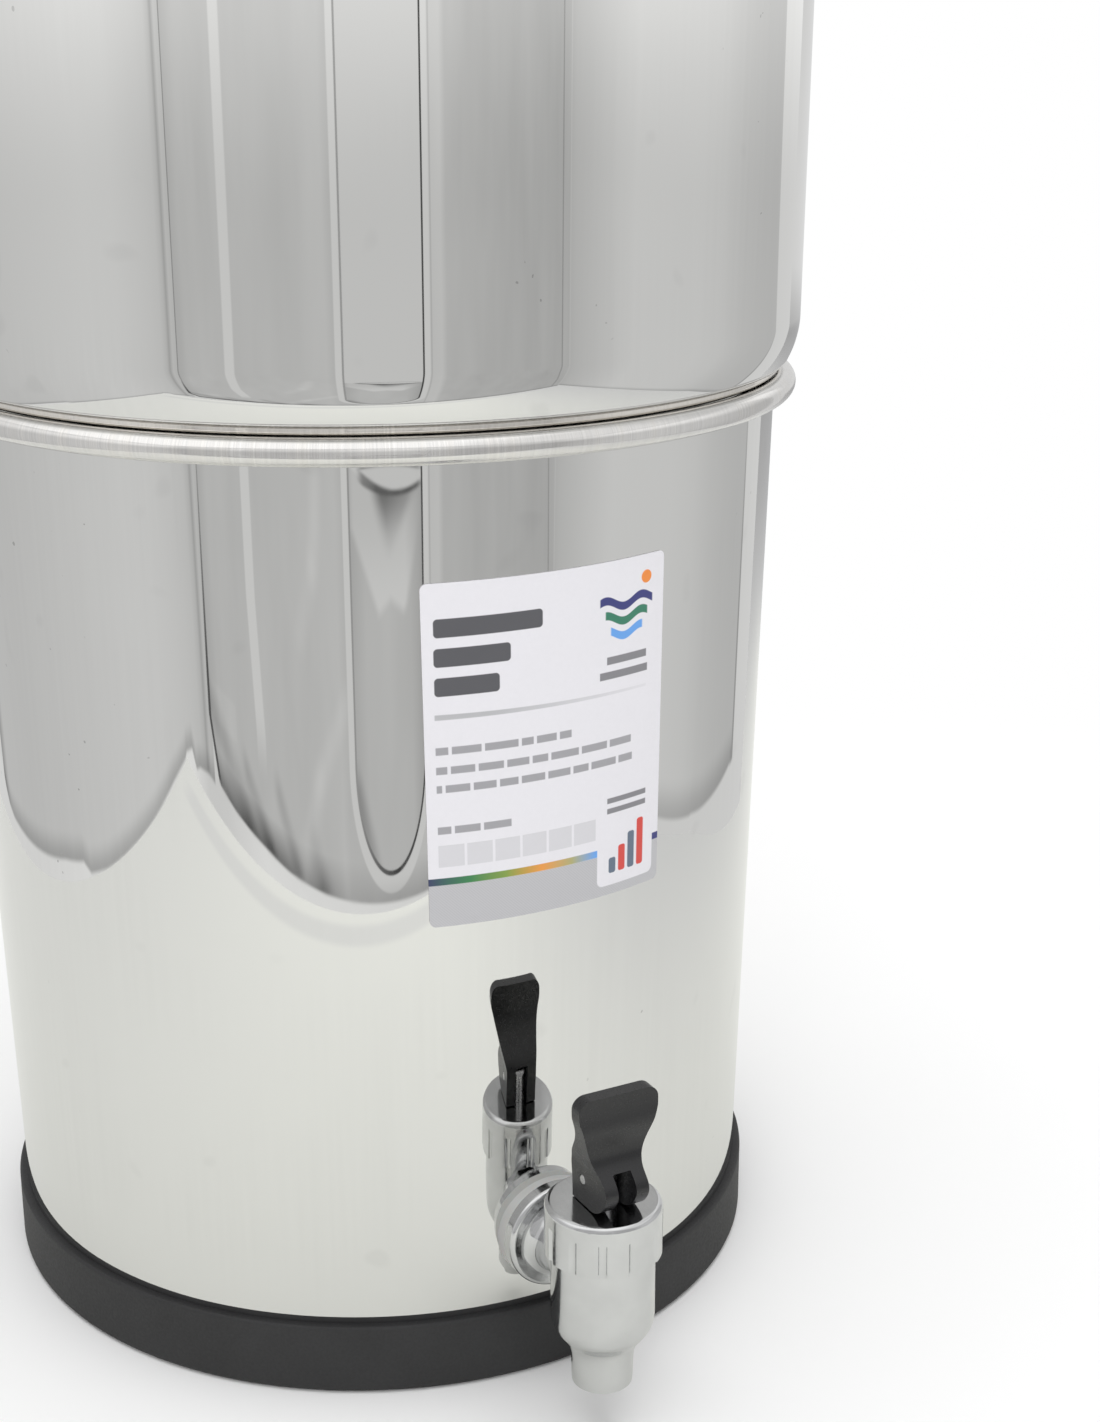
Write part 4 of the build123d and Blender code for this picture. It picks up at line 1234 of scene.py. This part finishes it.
def build_spring(small):
    """Valve spring: a round wire carried along a helix of even pitch, closed at its
    two ends by flat caps."""
    middle = ((SPRING_LOW.x + SPRING_HIGH.x) / 2, (SPRING_LOW.y + SPRING_HIGH.y) / 2)
    wire = small.spring_wire
    coil = (SPRING_HIGH.x - SPRING_LOW.x) / 2 - wire
    t = np.linspace(0, 1, int(COIL_STEPS * small.spring_turns) + 1)[:, None]
    height = SPRING_LOW.z + wire + t * (SPRING_HIGH.z - SPRING_LOW.z - 2 * wire)
    spin = math.tau * small.spring_turns * t
    ring = math.tau * np.arange(WIRE_SIDES)[None, :] / WIRE_SIDES
    radius = coil + wire * np.cos(ring)
    points = np.stack((
        middle[0] + radius * np.cos(spin), middle[1] + radius * np.sin(spin),
        height + wire * np.sin(ring),
    ), axis=-1)
    first, last = (np.broadcast_to(end.mean(axis=1, keepdims=True), end.shape)
                   for end in (points[:1], points[-1:]))
    points = np.concatenate((first, points, last))
    quads = grid_quads(len(points), WIRE_SIDES).reshape(-1, 4)
    mesh = make_mesh("valve_spring", points.reshape(-1, 3), quads)
    spring = add_piece(mesh, "valve", "fastener_steel", "tap_spring")
    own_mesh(spring)


def dress_nodes():
    """Gives each CAD node the finish of its own slot."""
    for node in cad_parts.values():
        for slot in node.material_slots:
            if slot.material.name in FINISHES:
                slot.material = FINISHES[slot.material.name]


# ---- studio ---------------------------------------------------------------------------

CAMERA_AHEAD = np.array((math.sin(HEADING), math.cos(HEADING)))
CAMERA_RIGHT = np.array((math.cos(HEADING), -math.sin(HEADING)))
# Corners of the light tent, in metres from the vessels' axis: to the camera's right, and
# away from the camera.
TENT_CORNERS = ((-0.345, 0.300), (-0.347, -0.110), (-0.343, -0.264), (-0.342, -0.365),
                (0.425, -0.345), (0.372, 0.054), (0.275, 0.251))
BACKDROP = 0.74                 # level of the white surround in a reflection
CLOTH_SOFT = 0.0015             # softness of a panel's edge, metres
TENT_TOP_GAIN = 1.5             # the lamps light the tent more towards its top
OVER_TENT = 0.78                # level of the surround just above the tent
CAMERA_SIDE_TOP = 1.28          # level high above the camera
FAR_SIDE_TOP = 0.95             # level high above the far side
RIGHT_SIDE_GAIN = 0.72          # the roof light is weaker on the right
ENDLESS = 5.0                   # a height above all that the tent shows
FOLD_SCALE = (26, 11, 1)        # of the cloth's unevenness, round and up the tent
FOLD_SLANT = 0.30
# Feet and tones of the tent's panels, as places along the walls and heights or levels
# there, and the flap's side, as heights and places there.
LEFT_FOOT = (
    (0.130, 0.022), (0.140, 0.0145), (0.152, 0.010), (0.170, 0.008), (0.340, 0.009),
    (0.384, 0.0072), (0.400, 0.0015), (0.440, 0.0), (0.560, 0.0), (0.620, 0.0015),
    (0.660, 0.001), (0.686, 0.010), (0.698, 0.004), (0.710, 0.008), (0.735, 0.012),
)
LEFT_SIDE = 0.135
LEFT_TONES = (
    (0.140, 0.61), (0.260, 0.61), (0.420, 0.675), (0.540, 0.715), (0.600, 0.71),
    (0.690, 0.655), (0.715, 0.63), (0.728, 0.56), (0.734, 0.43), (0.742, 0.60),
    (0.748, 0.58),
)
FLAP_FOOT = (
    (0.745, 0.017), (0.800, 0.0128), (0.860, 0.0105), (0.900, 0.008), (0.960, 0.006),
    (1.000, 0.005), (1.110, 0.0022), (1.400, 0.0),
)
FLAP_SIDE = (
    (0.016, 0.7660), (0.022, 0.7620), (0.040, 0.7490), (0.060, 0.7495), (0.140, 0.7530),
)
FLAP_TONES = (
    (0.752, 0.50), (0.775, 0.57), (0.960, 0.575), (0.990, 0.60), (0.999, 0.56),
    (1.122, 0.62), (1.140, 0.63), (1.148, 0.54), (1.200, 0.515), (1.390, 0.485),
    (1.430, 0.50),
)
FLAP_SHADE = (
    (0.765, 0.32), (0.875, 0.28), (0.905, 0.40), (0.930, 0.60), (0.955, 0.42),
    (0.975, 0.66), (0.995, 0.80), (1.110, 0.66),
)
# Creases of the front flap: a gain below 0 is painted shade in a crease, and a gain above 0
# is a painted highlight on a fold.
CREASES = (                     # start, end, half width and gain in level
    ((0.746, 0.050), (0.838, 0.014), 0.015, -0.12),
    ((0.824, 0.038), (0.876, 0.009), 0.010, -0.12),
    ((0.884, 0.040), (0.922, 0.006), 0.010, -0.10),
    ((0.938, 0.028), (0.964, 0.002), 0.013, -0.06),
    ((0.968, 0.170), (0.956, 0.120), 0.013, 0.050),
    ((0.957, 0.128), (0.932, 0.095), 0.013, 0.035),
    ((1.004, 0.082), (0.950, 0.044), 0.011, 0.045),
    ((0.962, 0.052), (0.925, 0.012), 0.013, 0.040),
)
FLAP_PATCH = ((0.757, 0.042), (0.812, 0.057))   # a little lighter than the rest
FLAP_END = 1.435
PORT_TALL = 1.25                # the port's corners are lower than they are wide
PORT_BOX = ((1.0098, 0.0172), (1.1148, ENDLESS))
PORT_CORNER = 0.052
PORT_BAND = 0.009               # width of the pale band round it
# a crease of painted shade in the port's cloth
PORT_CREASE = ((1.008, 0.050), (1.040, 0.010), 0.013, -0.17)
GATHER_MIDDLE = 1.066           # where the gathered cloth hangs lowest
LENS = (1.026, 1.112)           # sides of the lens
LENS_FOOT = (1.085, 0.1500)     # lowest point of its dark rim
LENS_BROW = (1.050, 0.1603)     # highest point of the line over it
PORT_TONES = ((1.010, 0.48), (1.030, 0.56), (1.062, 0.58), (1.095, 0.55), (1.113, 0.45))
PORT_OUTLINE = ((1.010, 0.36), (1.035, 0.17), (1.065, 0.07))
RIGHT_START = 1.430
RIGHT_END = 1.987
RIGHT_FOOT = ((1.740, 0.0065), (1.830, 0.0065), (1.860, 0.010), (1.985, 0.028))
RIGHT_TONES = (
    (1.436, 0.53), (1.450, 0.555), (1.500, 0.60), (1.600, 0.70), (1.740, 0.69),
    (1.800, 0.66), (1.850, 0.605), (1.900, 0.57), (1.950, 0.55),
)
UNDER_PANELS = (
    (0.130, 0.79), (0.260, 0.81), (0.400, 0.88), (0.690, 0.90), (0.735, 0.73),
    (0.780, 0.74), (0.860, 0.88), (1.000, 0.86), (1.110, 0.82),
)


def level(tree, value):
    """Grey colour of a level."""
    made = add_node(tree, "ShaderNodeCombineColor", {0: value, 1: value, 2: value})
    return made.outputs[0]


def over(below, mask, tone):
    """Tone over what is below, where the mask is 1."""
    return below * (1.0 - mask) + mask * tone


def course(value, *stops):
    """Straight runs from stop to stop, each a place and a level, and level beyond them."""
    total = value * 0.0 + stops[0][1]
    for (low, first), (high, last) in zip(stops, stops[1:]):
        total = total + value.slope(low, high, 0.0, last - first)
    return total


def streak(s, z, start, end, half):
    """Soft streak from start to end: 1 on its line, 0 at half its width to either side,
    and fading out at both ends."""
    run_s, run_z = end[0] - start[0], end[1] - start[1]
    long = math.hypot(run_s, run_z)
    off_s, off_z = s - start[0], z - start[1]
    along = (off_s * run_s + off_z * run_z) * (1 / long**2)
    aside = abs(off_s * run_z - off_z * run_s) * (1 / long)
    return aside.fade(half, 0.0) * slab(along, 0.0, 1.0, 0.3)


def left_panel(tone, s, z):
    """Left panel of the tent: it darkens towards its foot, which is painted shade. Its foot
    steps down once, and it has a groove at its right side."""
    foot = course(s, *LEFT_FOOT)
    away = (LEFT_SIDE - s).math("MAXIMUM", foot - z)
    # painted shade: the panel is darker towards its foot
    left = course(s, *LEFT_TONES) * (z - foot).fade(0.0, 0.013, 0.68, 1.0)
    left = left * s.fade(LEFT_SIDE, LEFT_SIDE + 0.030, 0.62, 1.0)
    return over(tone, away.inside(CLOTH_SOFT) * s.fade(0.753, 0.751), left)


def front_flap(tone, s, z, folds):
    """Front flap of the tent: creases that run down into its foot, painted as shade and
    highlight, a lighter stripe, painted shade towards its foot, and a dark left edge that
    turns in towards the foot."""
    foot = course(s, *FLAP_FOOT)
    side = course(z, *FLAP_SIDE)
    inside = (z - foot).fade(-CLOTH_SOFT, CLOTH_SOFT * 0.5)
    inside = inside * (s - side).fade(-CLOTH_SOFT, CLOTH_SOFT)
    inside = inside * s.fade(FLAP_END, FLAP_END - 0.002)
    front = course(s, *FLAP_TONES) + (folds - 0.5) * 0.10
    front = front * (z - foot).slope(0.0, 0.015, course(s, *FLAP_SHADE), 1.0)
    # painted shade and painted highlight along the creases
    for start, end, half, gain in CREASES:
        front = front + streak(s, z, start, end, half) * gain
    front = front + box_mask(s, z, *FLAP_PATCH, 0.003) * 0.025
    stripe = abs(s - z.slope(0.055, 0.105, 0.8615, 0.8545)).fade(0.0095, 0.0065)
    front = over(front, stripe * z.fade(0.035, 0.065), 0.71)
    tone = over(tone, inside, front.math("MAXIMUM", 0.10))
    edge = abs(s - side) - z.slope(0.045, 0.135, 0.0022, 0.0004)
    edge = edge.fade(0.0016, 0.0) * z.fade(0.014, 0.018)
    return over(tone, edge, z.slope(0.06, 0.135, 0.10, 0.30))


def gathered_cloth(cloth, s, z):
    """Cloth gathered above a hanging foot, which narrows downwards, with a shaded wedge
    that widens upwards in its middle."""
    left, right = z.slope(0.110, 0.140, 1.048, 1.013), z.slope(0.108, 0.150, 1.087, 1.116)
    gathered = slab(s, left, right, 0.010)
    hang = abs(s - GATHER_MIDDLE).slope(0.0, 0.018, 0.113, 0.108)
    tone = z.fade(0.110, 0.150, 0.70, 0.60) - s.slope(1.088, 1.114, 0.0, 0.16)
    cloth = over(cloth, gathered * (z - hang).fade(-0.002, 0.004), tone)
    half = z.slope(0.128, 0.150, 0.001, 0.028)
    wedge = abs(s - z.slope(0.128, 0.150, GATHER_MIDDLE, 1.075)) - half
    tone = z.fade(0.130, 0.152, 0.56, 0.20) + s.slope(1.062, 1.100, 0.0, 0.16)
    return over(cloth, wedge.inside(0.010) * z.fade(0.126, 0.134), tone)


def lens_disc(cloth, s, z):
    """Lens over the cloth: a pale disc above the parabola of its dark rim, which is
    thicker on the left, and a thin line along the parabola of its brow."""
    foot_s, foot_z = LENS_FOOT
    off = s - foot_s
    rim = off * off * 2.0 + foot_z
    disc = z.fade(foot_z - 0.0005, foot_z + 0.0005) * (z - rim).fade(-0.001, 0.001)
    cloth = over(cloth, disc, 0.66)
    thick = s.slope(1.030, 1.070, 0.0015, 0.0004)
    wide = slab(s, *LENS, 0.012)
    crescent = (abs(z - rim) - thick).fade(0.0016, -0.0004) * wide
    cloth = over(cloth, crescent * s.slope(1.03, 1.05, 0.7, 0.95), 0.12)
    top_s, top_z = LENS_BROW
    off = s - top_s
    brow = abs(z + off * off - top_z).fade(0.0012, 0.0)
    return over(cloth, brow * wide * 0.8, 0.22)


def camera_port(tone, s, z, folds):
    """Port in front of the camera: a pale band goes round it, and its cloth is gathered
    under the lens, which shows as a pale disc with a dark crescent round its foot."""
    away = box_distance(s, z * PORT_TALL, *PORT_BOX, PORT_CORNER)
    band = slab(away, 0.0, PORT_BAND, 0.0015) * s.fade(1.126, 1.122)
    tone = over(tone, band, z.fade(0.002, 0.014, 0.56, 0.70))
    tone = over(tone, slab(s, 1.1245, 1.1265, 0.0015) * 0.6, 0.45)
    cloth = course(s, *PORT_TONES) + (folds - 0.5) * 0.08
    cloth = lens_disc(gathered_cloth(cloth, s, z), s, z)
    # painted shade in a crease of the port's cloth
    *crease, gain = PORT_CREASE
    cloth = cloth + streak(s, z, *crease) * gain
    tone = over(tone, away.inside(CLOTH_SOFT), cloth)
    return over(tone, slab(away, -0.0018, 0.0006, 0.001), course(s, *PORT_OUTLINE))


def right_panel(tone, s, z):
    """Right panel of the tent: a groove beside it, a foot that rises to the right, painted
    shade that darkens it towards that foot, and a dark right edge."""
    groove = abs(s - z.slope(0.070, 0.125, 1.4090, 1.4040)).fade(0.0035, 0.0005)
    tone = over(tone, groove, 0.33)
    foot = course(s, *RIGHT_FOOT)
    away = (s + z * 0.07 - RIGHT_END).math("MAXIMUM", foot - z)
    # painted shade: the panel is darker towards its foot
    right = course(s, *RIGHT_TONES) * (z - foot).fade(0.0, 0.018, 0.72, 1.0)
    beyond = s.fade(RIGHT_START, RIGHT_START + 0.006)
    tone = over(tone, beyond, BACKDROP)
    tone = over(tone, away.inside(CLOTH_SOFT) * beyond, right)
    edge = slab(away, -0.006, 0.001, 0.004) * s.fade(1.970, 1.978)
    return over(tone, edge, 0.36)


def tent_tone(s, z, folds):
    """Level of the tent's inside along its walls: s runs round it and z up it, and folds
    is the cloth's unevenness, from 0 to 1. The panels overlap, and the lamps light them
    more towards the top."""
    under = course(s, *UNDER_PANELS)
    tone = over(s * 0.0 + BACKDROP, z.fade(0.030, 0.020) * s.fade(1.45, 1.42), under)
    tone = left_panel(tone, s, z)
    tone = front_flap(tone, s, z, folds)
    tone = camera_port(tone, s, z, folds)
    tone = right_panel(tone, s, z)
    tone = tone * z.fade(0.245, 0.36, 1.0, TENT_TOP_GAIN)
    return over(tone, z.fade(0.37, 0.42), OVER_TENT)


def tent_material():
    """Cloth of the tent, which glows at its own level and casts no light."""
    material, tree, output = new_material("tent_cloth")
    source = add_node(tree, "ShaderNodeTexCoord")
    s, z, _ = split(tree, source.outputs["UV"])
    slant = add_node(tree, "ShaderNodeMapping", {
        "Vector": source.outputs["UV"], "Rotation": (0, 0, FOLD_SLANT),
        "Scale": FOLD_SCALE,
    })
    folds = noise(tree, slant.outputs[0], 1.0, detail=2)
    tone = level(tree, tent_tone(s, z, folds))
    glow = add_node(tree, "ShaderNodeEmission", {"Color": tone})
    tree.links.new(glow.outputs[0], output.inputs["Surface"])
    material.cycles.emission_sampling = "NONE"
    return material


def build_tent(studio):
    """Walls of the light tent, straight from corner to corner: its UV map is the way
    along them and the height, in metres. Only mirror-like surfaces see them."""
    corners = np.array(TENT_CORNERS)
    ground = corners[:, :1] * CAMERA_RIGHT + corners[:, 1:] * CAMERA_AHEAD
    runs = np.linalg.norm(np.diff(corners, axis=0), axis=1)
    along = np.concatenate(([0.0], np.cumsum(runs)))
    number, z = np.meshgrid(np.arange(len(ground)), (0.0, studio.tent_height))
    points = np.column_stack((ground[number.ravel()], z.ravel()))
    first = np.arange(len(ground) - 1)
    above = first + len(ground)
    quads = np.column_stack((first, first + 1, above + 1, above))
    mesh = bpy.data.meshes.new("light_tent")
    mesh.from_pydata(points.tolist(), [], quads.tolist())
    places = np.column_stack((along[number.ravel()], z.ravel()))
    uv = mesh.uv_layers.new(name="UVMap")
    uv.data.foreach_set("uv", places[quads.ravel()].astype(np.float32).ravel())
    mesh.materials.append(tent_material())
    tent = add_object("light_tent", mesh)
    tent.visible_camera = False
    tent.visible_diffuse = False
    tent.visible_transmission = False
    tent.visible_shadow = False


CREAM = (0.815, 0.820, 0.785)   # floor in a reflection, near the object
CREAM_DIM = (0.61, 0.612, 0.615)            # at the sides and further out
CREAM_SHADE = (0.60, 0.60, 0.615)           # along the tent's foot
CREAM_FAR = (0.50, 0.50, 0.505)
FLOOR_WHITE = (0.93, 0.93, 0.93)
TENT_FOOT = -0.355              # the shaded line's place, away from the camera


def floor_material():
    """White floor: matt with the object's shadow near it, and plain white further out
    for the camera. In a reflection it is cream, and darker along the tent's foot."""
    material, tree, output = new_material("studio_floor")
    rays = add_node(tree, "ShaderNodeLightPath")
    seen = Wire(tree, rays.outputs["Is Camera Ray"])
    mirrored = Wire(tree, rays.outputs["Is Glossy Ray"])
    right, ahead, _ = split(tree, object_place(tree, turn=(0, 0, HEADING)))
    away = (right * right + ahead * ahead).math("SQRT")
    shade = slab(ahead - TENT_FOOT, 0.008, 0.024, 0.007) * away.fade(0.6, 0.5)
    shade = shade * right.fade(-0.335, -0.30)
    side = right.fade(0.10, 0.46) + right.fade(-0.02, -0.36, 0.0, 0.38)
    dim = away.fade(0.42, 0.80).math("MAXIMUM", side)
    cream = mix(tree, dim, CREAM, CREAM_DIM)
    cream = mix(tree, shade * 0.4, cream, CREAM_SHADE)
    cream = mix(tree, away.fade(0.50, 1.0), cream, CREAM_FAR)
    matt_colour = mix(tree, mirrored, FLOOR_WHITE, cream)
    matt = add_node(tree, "ShaderNodeBsdfDiffuse", {"Color": matt_colour})
    plain = add_node(tree, "ShaderNodeEmission", {
        "Color": (1, 1, 1), "Strength": over(seen, mirrored, BACKDROP),
    })
    far = away.fade(0.20, 0.55) * seen + away.fade(1.30, 2.40) * mirrored
    both = add_node(tree, "ShaderNodeMixShader", {
        0: far, 1: matt.outputs[0], 2: plain.outputs[0],
    })
    tree.links.new(both.outputs[0], output.inputs["Surface"])
    material.cycles.emission_sampling = "NONE"
    return material


def build_floor(studio):
    """Round floor: a fan of rings, (r cos a, r sin a, 0)."""
    reach = np.array((0.0, 0.5, studio.floor_radius))
    profile = np.column_stack((reach, 0 * reach))[::-1]
    mesh = turned_mesh("studio_floor", profile)
    mesh.materials.append(floor_material())
    add_object("studio_floor", mesh)


def build_world(studio):
    """White surround: 1 to the camera, a plain level on matt surfaces, and in a
    reflection the backdrop's level, which brightens upwards like a soft roof light."""
    world = bpy.data.worlds.new("studio")
    bpy.context.scene.world = world
    world.use_nodes = True
    tree = world.node_tree
    tree.nodes.clear()
    output = tree.nodes.new("ShaderNodeOutputWorld")
    rays = add_node(tree, "ShaderNodeLightPath")
    camera = Wire(tree, rays.outputs["Is Camera Ray"])
    glossy = Wire(tree, rays.outputs["Is Glossy Ray"])
    source = add_node(tree, "ShaderNodeTexCoord")
    x, y, z = split(tree, source.outputs["Generated"])
    near = x * -CAMERA_AHEAD[0] - y * CAMERA_AHEAD[1]
    right = x * CAMERA_RIGHT[0] + y * CAMERA_RIGHT[1]
    top = near.fade(-0.55, 0.0, FAR_SIDE_TOP, CAMERA_SIDE_TOP)
    top = top * right.fade(0.25, 0.60, 1.0, RIGHT_SIDE_GAIN)
    surround = over(top * 0.0 + BACKDROP, z.fade(0.15, 0.50), top)
    strength = over(glossy * 0.0 + studio.world_level, glossy, surround)
    strength = over(strength, camera, 1.0)
    glow = add_node(tree, "ShaderNodeBackground", {
        "Color": (1.0, 1.0, 1.0), "Strength": strength,
    })
    tree.links.new(glow.outputs[0], output.inputs["Surface"])


def add_lamp(name, watts, size, place, turn):
    """Soft square lamp that mirror-like surfaces don't show."""
    data = bpy.data.lights.new(name, "AREA")
    data.energy = watts
    data.size = size
    lamp = add_object(name, data)
    lamp.location = place
    lamp.rotation_euler = turn
    lamp.visible_glossy = False
    lamp.visible_camera = False


def build_camera(studio):
    """Camera at a low three-quarter view of the label."""
    data = bpy.data.cameras.new("camera")
    data.lens = studio.lens
    data.sensor_width = 36.0
    data.clip_start = 0.01
    camera = add_object("camera", data)
    camera.location = studio.camera_place
    camera.rotation_euler = (studio.camera_pitch, 0.0, studio.camera_heading)
    bpy.context.scene.camera = camera


# ---- operators ------------------------------------------------------------------------

class WATERFILTER_OT_lower_chamber(bpy.types.Operator):
    """Build the lower chamber and its rubber base ring"""

    bl_idname = "water_filter.lower_chamber"
    bl_label = "Lower Chamber"

    def execute(self, context):
        scene = context.scene
        build_lower_chamber(scene.filter_chambers)
        build_base_ring(scene.filter_chambers, scene.filter_small)
        return {"FINISHED"}


class WATERFILTER_OT_upper_chamber(bpy.types.Operator):
    """Build the upper chamber, with the holes for the filters in its floor"""

    bl_idname = "water_filter.upper_chamber"
    bl_label = "Upper Chamber"

    def execute(self, context):
        build_upper_chamber(context.scene.filter_chambers)
        return {"FINISHED"}


class WATERFILTER_OT_lid(bpy.types.Operator):
    """Build the domed lid and its knob"""

    bl_idname = "water_filter.lid"
    bl_label = "Lid and Knob"

    def execute(self, context):
        build_lid(context.scene.filter_chambers, context.scene.filter_lid)
        build_knob(context.scene.filter_lid)
        return {"FINISHED"}


class WATERFILTER_OT_label(bpy.types.Operator):
    """Build the printed label on the lower chamber"""

    bl_idname = "water_filter.label"
    bl_label = "Label"

    def execute(self, context):
        build_label(context.scene.filter_chambers, context.scene.filter_small)
        return {"FINISHED"}


class WATERFILTER_OT_tap(bpy.types.Operator):
    """Build the valve spring of the tap"""

    bl_idname = "water_filter.tap"
    bl_label = "Tap Spring"

    def execute(self, context):
        build_spring(context.scene.filter_small)
        return {"FINISHED"}


class WATERFILTER_OT_finishes(bpy.types.Operator):
    """Make the finishes, and give them to the tap, filters, plugs and fasteners"""

    bl_idname = "water_filter.finishes"
    bl_label = "Finishes"

    def execute(self, context):
        make_finishes()
        dress_nodes()
        return {"FINISHED"}


class WATERFILTER_OT_studio(bpy.types.Operator):
    """Set the floor, light tent, surround, lamps and camera"""

    bl_idname = "water_filter.studio"
    bl_label = "Studio"

    def execute(self, context):
        studio = context.scene.filter_studio
        build_floor(studio)
        build_tent(studio)
        build_world(studio)
        add_lamp("overhead", studio.lamp_watts, 1.4, (0.0, 0.0, 1.5), (0, 0, 0))
        add_lamp(
            "front", studio.front_watts, 1.0, (-0.45, -1.1, 0.9),
            (math.radians(58), 0, math.radians(-22)),
        )
        build_camera(studio)
        context.scene.view_settings.view_transform = "Standard"
        return {"FINISHED"}


class WATERFILTER_PT_panel(bpy.types.Panel):
    """Sidebar panel with the sizes, the colours and a button for each piece"""

    bl_idname = "WATERFILTER_PT_panel"
    bl_label = "Gravity Water Filter"
    bl_space_type = "VIEW_3D"
    bl_region_type = "UI"
    bl_category = "Water Filter"

    def draw(self, context):
        for operator in OPERATORS:
            self.layout.operator(operator.bl_idname)
        for name in SETTINGS:
            settings = getattr(context.scene, name)
            box = self.layout.box()
            box.label(text=type(settings).__doc__)
            for key in settings.bl_rna.properties.keys():
                if key not in ("rna_type", "name"):
                    box.prop(settings, key)


OPERATORS = (
    WATERFILTER_OT_finishes, WATERFILTER_OT_lower_chamber, WATERFILTER_OT_upper_chamber,
    WATERFILTER_OT_lid, WATERFILTER_OT_label, WATERFILTER_OT_tap, WATERFILTER_OT_studio,
)


def register():
    """Registers the settings, the operators and the panel."""
    for name, group in SETTINGS.items():
        bpy.utils.register_class(group)
        setattr(bpy.types.Scene, name, PointerProperty(type=group))
    for operator in OPERATORS:
        bpy.utils.register_class(operator)
    bpy.utils.register_class(WATERFILTER_PT_panel)


def unregister():
    """Removes what register added."""
    bpy.utils.unregister_class(WATERFILTER_PT_panel)
    for operator in reversed(OPERATORS):
        bpy.utils.unregister_class(operator)
    for name, group in reversed(SETTINGS.items()):
        delattr(bpy.types.Scene, name)
        bpy.utils.unregister_class(group)


def main():
    """Builds everything in order."""
    register()
    for operator in OPERATORS:
        group, name = operator.bl_idname.split(".")
        getattr(getattr(bpy.ops, group), name)()


if __name__ == "__main__":
    main()
